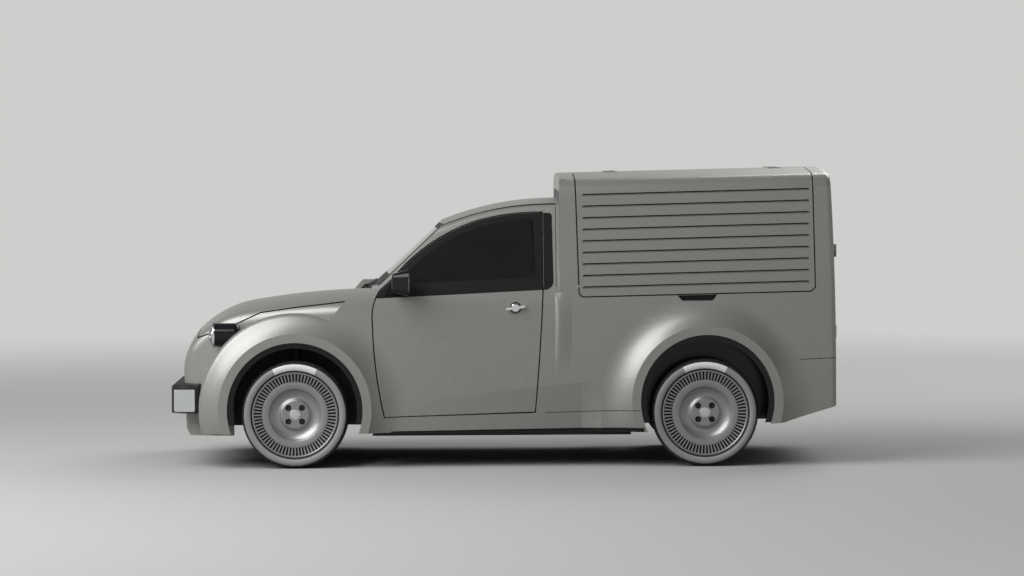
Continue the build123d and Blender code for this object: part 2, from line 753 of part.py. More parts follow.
def grown(drawn, amount):
    """An outline offset outwards, or inwards for a negative amount."""
    with BuildSketch() as result:
        add(drawn)
        offset(amount=amount, kind=Kind.INTERSECTION)
    return result.sketch


def above_belt(drawn, rise):
    """The part of the door's outline above its belt line, moved up by a rise."""
    with BuildSketch() as result:
        add(drawn)
        with BuildLine():
            Polyline(
                (-CUT, belt_z(-CUT) + rise), (CUT, belt_z(CUT) + rise), (CUT, CUT), (-CUT, CUT), close=True
            )
        make_face(mode=Mode.INTERSECT)
    return result.sketch


def lower_facet():
    """What is cut from the left side below its crease: a wedge that deepens to the rear."""
    with BuildPart() as wedge:
        for x, depth in FACET_STATIONS:
            crease_z = CREASE_FRONT[1] + (x - CREASE_FRONT[0]) * CREASE_RISE
            with BuildSketch(Plane.YZ.offset(x)):
                with BuildLine():
                    Polyline(
                        (-BODY_HALF - OVER, crease_z),
                        (-BODY_HALF - OVER, FACET_LOW_Z),
                        (depth - BODY_HALF, FACET_LOW_Z),
                        close=True,
                    )
                make_face()
        loft(ruled=True)
    return wedge.part


DOOR = door_outline()
PANE = above_belt(grown(DOOR, -PANE_BORDER), 0)
WINDOW = above_belt(grown(DOOR, -WINDOW_BORDER), WINDOW_RISE)
FLAP = outline(*FLAP_POINTS)
SILL_LINE = outline((-CUT, seam_z(-CUT)), (CUT, seam_z(CUT)), (CUT, -CUT), (-CUT, -CUT))
BONNET = outline((BONNET_EDGE[0][0], CUT), *BONNET_EDGE, (BONNET_REAR_X, CUT))

# Outer forms, inner forms and what the wheels cut away
cab_outer = cab_volume(0)
cab_inner = cab_volume(CAB_WALL)
box_outer = box_volume(0)
box_inner = box_volume(BOX_WALL)
front_outer = front_volume(0)
front_inner = front_volume(SKIN)
front_house = wheel_house(FRONT_ARCH)
rear_house = wheel_house(REAR_ARCH)
facet = lower_facet()
left_half = block(-CUT, CUT, -CUT, 0, -CUT, CUT)

# Hinge axes on the left; a fixed half follows each moving half along its axis
hinge_step = HINGE_LENGTH + SEAM
flap_hinge_y = FLAP_HINGE_Y - HINGE_GAP / 2
roof_run = TAIL_X - TAIL_LEAN - BOX_FRONT_X
flap_hinge_z = BOX_TOP_Z - BOX_RISE - flap_hinge_y**2 / (2 * CROWN_RADIUS)
rear_hinge = Plane((TAIL_X, -REAR_DOOR_HALF - HINGE_GAP / 2, 0), x_dir=(0, 1, 0), z_dir=(0, 0, 1))
flap_hinge = Plane(
    (BOX_FRONT_X, -flap_hinge_y, flap_hinge_z), x_dir=(0, -1, 0), z_dir=(roof_run, 0, BOX_RISE)
)
bonnet_hinge = Plane(
    (BONNET_REAR_X + HINGE_GAP / 2, 0, BONNET_HINGE_Z), x_dir=(-1, 0, 0), z_dir=(0, 1, 0)
)

# Cab side and box side on the left, with their arch coves, before they are divided into panels
with BuildPart() as cab_side:
    add(cab_outer)
    add(left_half, mode=Mode.INTERSECT)
    add(cove_ring(FRONT_ARCH, BODY_HALF - CAB_WALL))
    add(block(SCREEN_LOW[0], BOX_FRONT_X, -CUT, 0, SILL_Z, CUT), mode=Mode.INTERSECT)
    with BuildSketch(Plane.YZ.offset(SCREEN_LOW[0])):
        add(cab_section(CAB_WALL))
    extrude(amount=BOX_FRONT_X - SCREEN_LOW[0], mode=Mode.SUBTRACT)
    add(front_house, mode=Mode.SUBTRACT)
    add(facet, mode=Mode.SUBTRACT)

with BuildPart() as box_side:
    add(box_outer)
    add(left_half, mode=Mode.INTERSECT)
    add(cove_ring(REAR_ARCH, BODY_HALF - BOX_WALL))
    add(block(BOX_FRONT_X, TAIL_X, -CUT, 0, SILL_Z, CUT), mode=Mode.INTERSECT)
    add(box_inner, mode=Mode.SUBTRACT)
    add(rear_house, mode=Mode.SUBTRACT)
    add(facet, mode=Mode.SUBTRACT)

# Doors, each with a pane set flush into its frame
with BuildPart() as pane_layer:
    add(cab_outer)
    add(cab_volume(GLASS), mode=Mode.SUBTRACT)

with BuildPart() as recess_layer:
    add(cab_outer)
    add(cab_volume(GLASS + SEAM), mode=Mode.SUBTRACT)

with BuildPart() as pane_recess:
    add(recess_layer.part)
    add(across(grown(PANE, SEAM), -CUT, 0), mode=Mode.INTERSECT)

with BuildPart() as left_glass:
    add(pane_layer.part)
    add(across(PANE, -CUT, -DOOR_INNER_HALF), mode=Mode.INTERSECT)

with BuildPart() as left_door:
    add(cab_side.part)
    add(across(DOOR, -CUT, -DOOR_INNER_HALF), mode=Mode.INTERSECT)
    add(across(WINDOW, -CUT, 0), mode=Mode.SUBTRACT)
    add(pane_recess.part, mode=Mode.SUBTRACT)
    add(
        block(
            STRIKER_X - STRIKER_END, BOX_FRONT_X, STRIKER_Y - STRIKER_RADIUS - SEAM, -DOOR_INNER_HALF,
            STRIKER_Z - STRIKER_RADIUS - SEAM, STRIKER_Z + STRIKER_RADIUS + SEAM,
        ),
        mode=Mode.SUBTRACT,
    )

# Door mirror on a sail base, and a round handle boss with a bar
with BuildPart() as sail:
    add(cab_volume(-SAIL))
    add(cab_volume(-SEAM), mode=Mode.SUBTRACT)
    add(across(outline(*SAIL_POINTS), -CUT, -DOOR_INNER_HALF), mode=Mode.INTERSECT)

mirror_centre = (MIRROR_X + MIRROR_DEPTH / 2, MIRROR_WIDTH / 2 - MIRROR_HALF, MIRROR_Z)
mirror_back = Plane(mirror_centre, x_dir=(0, 1, 0), z_dir=(-1, 0, 0))
with BuildPart() as mirror_head:
    with BuildSketch(mirror_back):
        RectangleRounded(MIRROR_WIDTH, MIRROR_HEIGHT, MIRROR_CORNER)
    extrude(amount=MIRROR_DEPTH, taper=MIRROR_TAPER_DEG)
    fillet(mirror_head.faces().sort_by(Axis.X)[0].edges(), radius=MIRROR_ROUND)

with BuildPart() as left_mirror:
    add(sail.part)
    add(rod(ARM_FOOT, ARM_TIP, ARM_RADIUS))
    add(mirror_head.part)

with BuildPart() as left_handle:
    with BuildSketch(Plane.XZ.offset(BODY_HALF)):
        with Locations(HANDLE):
            Circle(HANDLE_RADIUS)
    extrude(amount=HANDLE_HEIGHT)
    chamfer(left_handle.faces().sort_by(Axis.Y)[0].edges(), length=HANDLE_HEIGHT / 3)
    with BuildSketch(Plane.XZ.offset(BODY_HALF + HANDLE_HEIGHT / 2)):
        with Locations(HANDLE):
            SlotOverall(HANDLE_BAR_LENGTH, HANDLE_BAR_WIDTH, rotation=HANDLE_TILT_DEG)
    extrude(amount=HANDLE_HEIGHT)

for side in ("left", "right"):
    write(on_side(left_door.part, side), f"door_{side}")
    write(on_side(left_glass.part, side), f"door_glass_{side}")
    write(on_side(left_mirror.part, side), f"mirror_{side}")
    write(on_side(left_handle.part, side), f"door_handle_{side}")


# Cab frame: roof, screen pillars, centre pillars and the wall under the windscreen
def screen_opening(inset):
    """The windscreen in front view, as y, z, smaller by an inset."""
    low_half, high_half = SCREEN_HALF_LOW - inset, SCREEN_HALF_HIGH - inset
    low_z, high_z = BELT_Z + SCREEN_FRAME + inset, ROOF_FRONT[1] - SCREEN_FRAME - inset
    with BuildPart() as opening:
        with BuildSketch(Plane.YZ.offset(SCREEN_LOW[0] - SCREEN_FRAME)) as drawn:
            with BuildLine():
                Polyline(
                    (-low_half, low_z),
                    (low_half, low_z),
                    (high_half, high_z),
                    (-high_half, high_z),
                    close=True,
                )
            make_face()
            fillet(drawn.vertices(), radius=SCREEN_CORNER - inset)
        extrude(amount=ROOF_FRONT[0] - SCREEN_LOW[0] + 2 * SCREEN_FRAME)
    return opening.part


PILLAR_GAP = outline(
    (POST_FRONT_X, DOOR_REAR_SHOULDER[1]), (PILLAR_X, DOOR_REAR_SHOULDER[1]), (PILLAR_X, PILLAR_TOP_Z),
    (POST_FRONT_X, PILLAR_TOP_Z),
)
with BuildPart() as left_door_opening:
    add(across(grown(DOOR, SHUT_GAP), -CUT, SHUT_GAP - DOOR_INNER_HALF))
    add(across(PILLAR_GAP, -CUT, SHUT_GAP - DOOR_INNER_HALF))
door_openings = both_sides(left_door_opening.part)

with BuildPart() as screen_recess:
    add(recess_layer.part)
    add(screen_opening(-SEAM), mode=Mode.INTERSECT)

with BuildPart() as windscreen:
    add(pane_layer.part)
    add(screen_opening(0), mode=Mode.INTERSECT)
write(windscreen, "windscreen")

with BuildPart() as cab_frame:
    add(block(SCREEN_LOW[0], BOX_FRONT_X, -BODY_HALF, BODY_HALF, BELT_Z, CUT))
    add(block(SCREEN_LOW[0], SCREEN_LOW[0] + CAB_WALL, -COWL_HALF, COWL_HALF, SCUTTLE_LOW_Z, BELT_Z))
    add(cab_outer, mode=Mode.INTERSECT)
    add(cab_inner, mode=Mode.SUBTRACT)
    add(door_openings.part, mode=Mode.SUBTRACT)
    add(screen_opening(SCREEN_LEDGE), mode=Mode.SUBTRACT)
    add(screen_recess.part, mode=Mode.SUBTRACT)
write(cab_frame, "cab_frame")

# Front fenders: cove and cab side behind the diagonal edge, rolled ring ahead of it
diagonal_slope = (DIAGONAL_HIGH[1] - DIAGONAL_LOW[1]) / (DIAGONAL_HIGH[0] - DIAGONAL_LOW[0])
fender_foot = (FENDER_SPLIT_X, DIAGONAL_LOW[1] - (DIAGONAL_LOW[0] - FENDER_SPLIT_X) * diagonal_slope)
BEHIND = outline(
    (FENDER_SPLIT_X, SILL_Z), fender_foot, DIAGONAL_HIGH, (FENDER_REAR_X, DIAGONAL_HIGH[1]),
    (FENDER_REAR_X, seam_z(FENDER_REAR_X) + SEAM), (SCREEN_LOW[0], seam_z(SCREEN_LOW[0]) + SEAM),
    (SCREEN_LOW[0], SILL_Z),
)
AHEAD = outline(
    (-CUT, SILL_Z), (-CUT, DIAGONAL_HIGH[1]), (DIAGONAL_HIGH[0] + SKIN, DIAGONAL_HIGH[1]),
    (FENDER_SPLIT_X + SKIN, fender_foot[1]), (FENDER_SPLIT_X + SKIN, SILL_Z),
)
SCUTTLE_SIDE = outline(
    DIAGONAL_LOW, DIAGONAL_HIGH, (SCREEN_LOW[0] - SEAM, DIAGONAL_HIGH[1]),
    (SCREEN_LOW[0] - SEAM, DIAGONAL_HIGH[1] - SKIN), (DIAGONAL_HIGH[0] + SKIN / 2, DIAGONAL_HIGH[1] - SKIN),
    (DIAGONAL_LOW[0] + SKIN, DIAGONAL_LOW[1]),
)
with BuildPart() as fender_rear:
    with BuildSketch(Plane.YZ.offset(FENDER_SPLIT_X)):
        add(cab_section(0))
    extrude(amount=FENDER_REAR_X - FENDER_SPLIT_X)
    add(block(-CUT, CUT, -CUT, CAB_WALL - BODY_HALF, -CUT, CUT), mode=Mode.INTERSECT)
    add(cove_ring(FRONT_ARCH, BODY_HALF - CAB_WALL))
    add(across(BEHIND, -CUT, 0), mode=Mode.INTERSECT)
    add(front_house, mode=Mode.SUBTRACT)

pod_bores = both_sides(
    rod((POD_FRONT_X, -POD_Y, POD_Z), (POD_FRONT_X + POD_LENGTH + SEAM, -POD_Y, POD_Z), POD_RADIUS + SEAM)
)
with BuildPart() as left_fender:
    add(fender_ring())
    add(across(AHEAD, -CUT, 0), mode=Mode.INTERSECT)
    add(fender_rear.part)
    add(across(SCUTTLE_SIDE, -BODY_HALF + LIP_DEPTH, -COWL_HALF - SHUT_GAP))
    add(left_door_opening.part, mode=Mode.SUBTRACT)
    add(front_volume(-SEAM), mode=Mode.SUBTRACT)
    add(pod_bores.part, mode=Mode.SUBTRACT)
write(both_sides(left_fender.part), "front_fenders")

# Bonnet and nose, parted by the shut line
with BuildPart() as front_shell:
    add(front_outer)
    add(front_inner, mode=Mode.SUBTRACT)

bonnet_knuckle = hinge_half(bonnet_hinge, BONNET_HINGE_Y, HINGE_REACH, -BONNET_LEAF)
with BuildPart() as bonnet:
    add(front_shell.part)
    add(across(BONNET, -CUT, CUT), mode=Mode.INTERSECT)
    add(bonnet_knuckle)
    mirror(bonnet_knuckle, about=Plane.XZ)
write(bonnet, "bonnet")

with BuildPart() as nose_panel:
    add(block(NOSE_X, NOSE_REAR_X, -CUT, CUT, NOSE_LOW_Z, CUT))
    add(block(NOSE_REAR_X, BONNET_REAR_X, -CUT, CUT, STRIP_LOW_Z, CUT))
    add(front_shell.part, mode=Mode.INTERSECT)
    add(across(grown(BONNET, SHUT_GAP), -CUT, CUT), mode=Mode.SUBTRACT)
    add(pod_bores.part, mode=Mode.SUBTRACT)
write(nose_panel, "nose_panel")

# Cowl between bonnet and windscreen
cowl_front_x = BONNET_REAR_X + HINGE_GAP
COWL = outline(
    (cowl_front_x, COWL_FRONT_Z), (SCREEN_LOW[0] - SEAM, BELT_Z - SEAM),
    (SCREEN_LOW[0] - SEAM, COWL_FRONT_Z - 2 * SKIN), (cowl_front_x, COWL_FRONT_Z - 2 * SKIN),
)
cowl_knuckle = hinge_half(bonnet_hinge, BONNET_HINGE_Y + hinge_step, -HINGE_REACH, -COWL_LEAF)
with BuildPart() as cowl:
    add(crowned(COWL, BELT_Z - SEAM, BONNET_CROWN_RADIUS))
    add(block(-CUT, CUT, -COWL_HALF, COWL_HALF, -CUT, CUT), mode=Mode.INTERSECT)
    add(cowl_knuckle)
    mirror(cowl_knuckle, about=Plane.XZ)
write(cowl, "cowl")

# Box panels: side flaps with horizontal grooves, fixed sides, roof, bulkhead and rear doors
with BuildPart() as left_flap:
    add(box_side.part)
    add(across(FLAP, -CUT, -FLAP_HINGE_Y), mode=Mode.INTERSECT)
    with BuildSketch(Plane.XZ.offset(BODY_HALF - GROOVE_DEPTH)):
        for row in range(GROOVE_COUNT):
            with Locations((GROOVE_X, GROOVE_LOW_Z + row * GROOVE_PITCH)):
                SlotOverall(GROOVE_LENGTH, GROOVE_HEIGHT, rotation=GROOVE_SLOPE_DEG)
    extrude(amount=LIP_HALF, mode=Mode.SUBTRACT)
    add(hinge_halves(flap_hinge, FLAP_HINGES, HINGE_REACH, ROOF_LEAF))

rear_door_gap = block(
    TAIL_X - 2 * BOX_WALL, TAIL_X + OVER, -REAR_DOOR_HALF - HINGE_GAP, REAR_DOOR_HALF + HINGE_GAP,
    REAR_SEAM_Z, REAR_DOOR_HIGH_Z + SHUT_GAP,
)


def bumper_region(grow):
    """The rear bumper in side view, below a seam behind the rear wheels, larger by a clearance."""
    return outline(
        (REAR_BUMPER_X - grow, 0), (REAR_BUMPER_X - grow, REAR_BUMPER_TOP[0] + grow),
        (TAIL_X + OVER, REAR_BUMPER_TOP[1] + grow), (TAIL_X + OVER, 0),
    )


def tail_lamp(grow):
    """A tail lamp let flush into the left rear corner, larger by a clearance."""
    with BuildPart() as lamp:
        with BuildSketch(Plane.YZ.offset(TAIL_X - LAMP_DEPTH - grow)):
            with Locations((-LAMP_Y, LAMP_Z)):
                RectangleRounded(LAMP_WIDTH + 2 * grow, LAMP_HEIGHT + 2 * grow, LAMP_WIDTH / 3)
        extrude(amount=LAMP_DEPTH + grow)
        add(box_outer, mode=Mode.INTERSECT)
    return lamp.part


with BuildPart() as left_rear_post:
    add(cab_side.part)
    add(block(POST_FRONT_X, BOX_FRONT_X, -CUT, -DOOR_INNER_HALF, 0, BELT_Z - SEAM), mode=Mode.INTERSECT)
    add(left_door_opening.part, mode=Mode.SUBTRACT)
    add(across(SILL_LINE, -CUT, 0), mode=Mode.SUBTRACT)
    add(rod((STRIKER_X, STRIKER_Y, STRIKER_Z), (BOX_FRONT_X, STRIKER_Y, STRIKER_Z), STRIKER_RADIUS))

with BuildPart() as left_body_side:
    add(box_side.part)
    add(across(grown(FLAP, SHUT_GAP), -CUT, 0), mode=Mode.SUBTRACT)
    add(across(SILL_LINE, -CUT, 0), mode=Mode.SUBTRACT)
    add(across(bumper_region(SEAM), -CUT, 0), mode=Mode.SUBTRACT)
    add(rear_door_gap, mode=Mode.SUBTRACT)
    add(block(-CUT, CUT, -ROOF_HALF - SEAM, CUT, ROOF_SPLIT_Z - SEAM, CUT), mode=Mode.SUBTRACT)
    add(block(BOX_FRONT_X, BOX_FRONT_X + BOX_WALL, BOX_WALL - BODY_HALF, CUT, 0, CUT), mode=Mode.SUBTRACT)
    add(across(outline(*SLOT_POINTS), -CUT, SLOT_DEPTH - BODY_HALF), mode=Mode.SUBTRACT)
    add(left_rear_post.part)
    add(tail_lamp(SEAM), mode=Mode.SUBTRACT)
    add(hinge_halves(rear_hinge, [z + hinge_step for z in REAR_HINGES], -HINGE_REACH, HINGE_REACH))

with BuildPart() as box_shell:
    add(box_side.part)
    mirror(about=Plane.XZ)

flap_openings = both_sides(across(grown(FLAP, SHUT_GAP), -CUT, HINGE_GAP - FLAP_HINGE_Y))
roof_starts = [start + hinge_step for start in FLAP_HINGES]
roof_hinges = hinge_halves(flap_hinge, roof_starts, -HINGE_REACH, ROOF_LEAF)
with BuildPart() as box_roof:
    add(box_shell.part)
    add(block(-CUT, CUT, -ROOF_HALF, ROOF_HALF, ROOF_SPLIT_Z, CUT), mode=Mode.INTERSECT)
    add(flap_openings.part, mode=Mode.SUBTRACT)
    add(rear_door_gap, mode=Mode.SUBTRACT)
    add(roof_hinges)
    mirror(roof_hinges, about=Plane.XZ)

with BuildPart() as bulkhead:
    add(box_shell.part)
    add(
        block(
            BOX_FRONT_X, BOX_FRONT_X + BOX_WALL, BOX_WALL - BODY_HALF, BODY_HALF - BOX_WALL,
            FLOOR_Z, ROOF_SPLIT_Z - SEAM,
        ),
        mode=Mode.INTERSECT,
    )

with BuildPart() as rear_bumper:
    add(box_shell.part)
    add(across(bumper_region(0), -CUT, CUT), mode=Mode.INTERSECT)
    add(across(outline(*BUMPER_SWEEP_POINTS), -CUT, CUT), mode=Mode.SUBTRACT)

with BuildPart() as left_rear_door:
    add(box_shell.part)
    add(
        block(
            TAIL_X - 2 * BOX_WALL, TAIL_X + OVER, -REAR_DOOR_HALF, -SHUT_GAP / 2,
            REAR_DOOR_LOW_Z, REAR_DOOR_HIGH_Z,
        ),
        mode=Mode.INTERSECT,
    )
    add(hinge_halves(rear_hinge, REAR_HINGES, HINGE_REACH, HINGE_REACH))

with BuildPart() as left_sill:
    add(cab_side.part)
    add(box_side.part)
    add(block(SCREEN_LOW[0] + SEAM, REAR_AXLE_X, -CUT, CAB_WALL - BODY_HALF, 0, CUT), mode=Mode.INTERSECT)
    add(across(SILL_LINE, -CUT, 0), mode=Mode.INTERSECT)
    add(block(-CUT, CUT, -CUT, CUT, SILL_Z, CUT), mode=Mode.INTERSECT)

write(both_sides(left_body_side.part), "body_sides")
write(both_sides(tail_lamp(0)), "tail_lamps")
write(both_sides(left_sill.part), "sill_panels")
write(box_roof, "box_roof")
write(bulkhead, "bulkhead")
write(rear_bumper, "rear_bumper")
for side in ("left", "right"):
    write(on_side(left_flap.part, side), f"side_flap_{side}")
    write(on_side(left_rear_door.part, side), f"rear_door_{side}")

# Headlamps: pods let into the fenders, chrome rims and domed lenses
with BuildPart() as left_pod:
    add(rod((POD_FRONT_X, -POD_Y, POD_Z), (POD_FRONT_X + POD_LENGTH, -POD_Y, POD_Z), POD_RADIUS))
    fillet(left_pod.edges().sort_by(Axis.X)[-1], radius=POD_RADIUS / 2)

with BuildPart() as left_lamp_rim:
    add(rod((POD_FRONT_X - RIM_DEPTH, -POD_Y, POD_Z), (POD_FRONT_X, -POD_Y, POD_Z), POD_RADIUS + RIM_PROUD))
    fillet(left_lamp_rim.edges().sort_by(Axis.X)[0], radius=RIM_DEPTH / 2)
    add(
        rod((POD_FRONT_X - RIM_DEPTH, -POD_Y, POD_Z), (POD_FRONT_X, -POD_Y, POD_Z), LENS_RADIUS + SEAM),
        mode=Mode.SUBTRACT,
    )

with BuildPart() as left_lens:
    lens_radius = (LENS_RADIUS**2 + LENS_DOME**2) / (2 * LENS_DOME)
    with Locations((POD_FRONT_X - RIM_DEPTH - LENS_DOME + lens_radius, -POD_Y, POD_Z)):
        Sphere(lens_radius)
    add(block(-CUT, POD_FRONT_X - SEAM, -CUT, CUT, 0, CUT), mode=Mode.INTERSECT)
    add(
        rod((POD_FRONT_X - CUT, -POD_Y, POD_Z), (POD_FRONT_X, -POD_Y, POD_Z), LENS_RADIUS),
        mode=Mode.INTERSECT,
    )

write(both_sides(left_pod.part), "headlamp_pods")
write(both_sides(left_lamp_rim.part), "headlamp_rims")
write(both_sides(left_lens.part), "headlamp_lenses")

# Front bumper: a dark beam wrapped round the nose, with a bright blade on each corner
with BuildPart() as front_bumper:
    add(block(BUMPER_X, BUMPER_REAR_X, -BUMPER_HALF, BUMPER_HALF, BUMPER_LOW_Z, BUMPER_HIGH_Z))
    corners = front_bumper.edges().filter_by(Axis.Z).group_by(Axis.X)[0]
    fillet(corners, radius=BUMPER_CORNER)
    top_edges = front_bumper.faces().sort_by(Axis.Z)[-1].edges()
    fillet(top_edges.filter_by(lambda e: e.center().X < BUMPER_REAR_X - OVER), radius=BUMPER_EDGE_RADIUS)
    add(front_volume(-SEAM), mode=Mode.SUBTRACT)

with BuildPart() as left_blade:
    add(
        block(
            BLADE_FRONT_X, BLADE_FRONT_X + BLADE_LENGTH, -BUMPER_HALF - BLADE, -BUMPER_HALF - SEAM,
            BLADE_LOW_Z, BLADE_LOW_Z + BLADE_HEIGHT,
        )
    )
    fillet(left_blade.edges().filter_by(Axis.Y), radius=BLADE_CORNER)
    chamfer(left_blade.faces().sort_by(Axis.Y)[0].edges(), length=BLADE_CHAMFER)

write(front_bumper, "front_bumper")
write(both_sides(left_blade.part), "bumper_blades")


# Wheel arch liners: a flange behind the lip and a barrel; the rear ones are closed towards the load space
def liner(arch, closed):
    """A wheel arch liner on the left side."""
    centre_x, centre_z, opening, lip, join = arch
    outer = opening + HOUSE_CLEARANCE - SEAM
    lip_y = LIP_DEPTH - LIP_HALF + SEAM
    with BuildPart() as shell:
        with BuildSketch(Plane.YZ.offset(centre_x)):
            with BuildLine():
                Polyline(
                    (lip_y, centre_z + outer),
                    (lip_y, centre_z + opening - LINER_FLANGE),
                    (lip_y + LINER_WALL, centre_z + opening - LINER_FLANGE),
                    (lip_y + 2 * LINER_WALL, centre_z + outer - LINER_WALL),
                    (-HOUSE_INNER_HALF, centre_z + outer - LINER_WALL),
                    (-HOUSE_INNER_HALF, centre_z + outer),
                    close=True,
                )
            make_face()
        revolve(axis=Axis((centre_x, 0, centre_z), (0, 1, 0)))
        if closed:
            wall_y = -HOUSE_INNER_HALF - LINER_WALL
            add(rod((centre_x, wall_y, centre_z), (centre_x, -HOUSE_INNER_HALF, centre_z), outer))
            add(block(*TUB_GAP, wall_y - OVER, CUT, 0, TUB_LOW_Z), mode=Mode.SUBTRACT)
        add(block(-CUT, CUT, -CUT, CUT, LINER_LOW_Z, CUT), mode=Mode.INTERSECT)
        if not closed:
            add(front_volume(-SEAM), mode=Mode.SUBTRACT)
    return shell.part


with BuildPart() as arch_liners:
    add(liner(FRONT_ARCH, False))
    add(liner(REAR_ARCH, True))
    mirror(about=Plane.XZ)
write(arch_liners, "arch_liners")

kingpin = (KINGPIN_HIGH - KINGPIN_LOW).normalized()


def on_kingpin(z):
    """The point of the left steering axis at a height."""
    return tuple(KINGPIN_LOW + kingpin * ((z - KINGPIN_LOW.Z) / kingpin.Z))


# Underbody: floor, sill beams, firewall, front rails with wheel house walls and strut towers, rear rails
load_low_z = LOAD_Z - LOAD_WALL
rear_rail_z = load_low_z - REAR_RAIL_HEIGHT
tower_x = (FRONT_AXLE_X - TOWER_HALF, FRONT_AXLE_X + TOWER_HALF)
tail_rail_x = TAIL_X - REAR_RAIL_END
# Left half of the underbody: x from, x to, outer |y|, inner |y|, z from, z to
UNDERBODY = (
    (FIREWALL_X, KICK_X, BEAM_HALF, 0, FLOOR_Z - FLOOR_WALL, FLOOR_Z),
    (FIREWALL_X, KICK_X - BEAM_REAR, BEAM_HALF, BEAM_INNER, STRIP_Z, FLOOR_Z),
    (FIREWALL_X, KICK_X - BEAM_REAR, STRIP_HALF, BEAM_INNER, STRIP_Z, SILL_Z - SEAM),
    (FIREWALL_X, FIREWALL_X + FIREWALL, FIREWALL_HALF, 0, FLOOR_Z, SCUTTLE_LOW_Z - SEAM),
    (RAIL_FRONT_X, FIREWALL_X, RAIL_OUTER, RAIL_INNER, RAIL_LOW_Z, RAIL_HIGH_Z),
    (RAIL_FRONT_X, RAIL_FRONT_X + CROSS_MEMBER, RAIL_OUTER, 0, RAIL_LOW_Z, RAIL_HIGH_Z),
    (HOUSE_WALL_X, FIREWALL_X, RAIL_OUTER + HOUSE_WALL, RAIL_OUTER, HOUSE_WALL_Z, TOWER_TOP_Z - TOWER_CAP),
    (*tower_x, RAIL_OUTER, RAIL_OUTER - TOWER_WALL, RAIL_HIGH_Z, TOWER_TOP_Z),
    (*tower_x, TOWER_OUTER, RAIL_OUTER - TOWER_WALL, TOWER_TOP_Z - TOWER_CAP, TOWER_TOP_Z),
    (KICK_X - KICK_WALL, KICK_X, TUB_HALF, 0, FLOOR_Z, load_low_z),
    (KICK_X, tail_rail_x, REAR_RAIL_OUTER, REAR_RAIL_INNER, rear_rail_z, load_low_z),
    (tail_rail_x - REAR_RAIL_END, tail_rail_x, REAR_RAIL_OUTER, 0, rear_rail_z, load_low_z),
)
with BuildPart() as left_underbody:
    for x_low, x_high, outer, inner, z_low, z_high in UNDERBODY:
        add(block(x_low, x_high, -outer, -inner, z_low, z_high))
    add(rod(on_kingpin(STRUT_TOP_Z + SEAM), on_kingpin(STRUT_CAP_Z), STRUT_CAP_RADIUS))
    add(
        rod((FRONT_AXLE_X, -BEAM_HALF, TYRE_RADIUS), (FRONT_AXLE_X, 0, TYRE_RADIUS), SHAFT_PASSAGE),
        mode=Mode.SUBTRACT,
    )
with BuildPart() as underbody:
    add(left_underbody.part)
    mirror(about=Plane.XZ)
write(underbody, "underbody")

with BuildPart() as battery_pack:
    add(
        block(
            BATTERY_FRONT_X, BATTERY_REAR_X, -BATTERY_HALF, BATTERY_HALF,
            BATTERY_LOW_Z, FLOOR_Z - FLOOR_WALL - SEAM,
        )
    )
    fillet(battery_pack.edges().filter_by(Axis.Z), radius=BATTERY_CORNER)
write(battery_pack, "battery_pack")

with BuildPart() as drive_unit:
    add(
        block(
            FRONT_AXLE_X - DRIVE_HALF_X, FRONT_AXLE_X + DRIVE_HALF_X, -DRIVE_HALF, DRIVE_HALF,
            DRIVE_LOW_Z, DRIVE_HIGH_Z,
        )
    )
    fillet(drive_unit.edges().filter_by(Axis.Y), radius=DRIVE_CORNER)
    add(rod((FRONT_AXLE_X, -SHAFT_HALF, TYRE_RADIUS), (FRONT_AXLE_X, SHAFT_HALF, TYRE_RADIUS), SHAFT_RADIUS))
write(drive_unit, "drive_unit")

plate_x = (FRONT_AXLE_X - SUBFRAME_HALF_X, FRONT_AXLE_X + SUBFRAME_HALF_X)
link_x = (FRONT_AXLE_X - LINK_HALF_X, FRONT_AXLE_X + LINK_HALF_X)
plate_top_z = DRIVE_LOW_Z - SEAM
with BuildPart() as left_subframe:
    add(block(*plate_x, -SUBFRAME_HALF, 0, SUBFRAME_LOW_Z, plate_top_z))
    add(block(*link_x, -LINK_OUTER, -LINK_INNER, LINK_LOW_Z, LINK_HIGH_Z))
    add(rod(on_kingpin(PIN_LOW_Z), on_kingpin(PIN_HIGH_Z), PIN_RADIUS))
    for foot_x in (FRONT_AXLE_X - SUBFRAME_FOOT_X, FRONT_AXLE_X + SUBFRAME_FOOT_X):
        with Locations((foot_x, -SUBFRAME_FOOT_Y, (plate_top_z + RAIL_LOW_Z - SEAM) / 2)):
            Box(SUBFRAME_FOOT, SUBFRAME_FOOT, RAIL_LOW_Z - SEAM - plate_top_z)
with BuildPart() as front_subframe:
    add(left_subframe.part)
    mirror(about=Plane.XZ)
write(front_subframe, "front_subframe")

spring_top_z = rear_rail_z - SEAM
wheel_end = (REAR_AXLE_X, -WHEEL_Y - SPINDLE_TIP, TYRE_RADIUS)
hub_ends = ((REAR_AXLE_X, -HUB_OUTER, TYRE_RADIUS), (REAR_AXLE_X, -HUB_INNER, TYRE_RADIUS))
with BuildPart() as left_axle:
    add(rod((AXLE_BEAM_X, -AXLE_BEAM_HALF, AXLE_BEAM_Z), (AXLE_BEAM_X, 0, AXLE_BEAM_Z), AXLE_BEAM_RADIUS))
    add(rod(ARM_FRONT, ARM_REAR, TRAILING_RADIUS))
    add(rod(*hub_ends, HUB_RADIUS))
    add(rod(wheel_end, hub_ends[1], SPINDLE_RADIUS))
    add(rod((AXLE_BEAM_X, SPRING_Y, AXLE_BEAM_Z), (AXLE_BEAM_X, SPRING_Y, spring_top_z), SPRING_RADIUS))
with BuildPart() as rear_axle:
    add(left_axle.part)
    mirror(about=Plane.XZ)
write(rear_axle, "rear_axle")

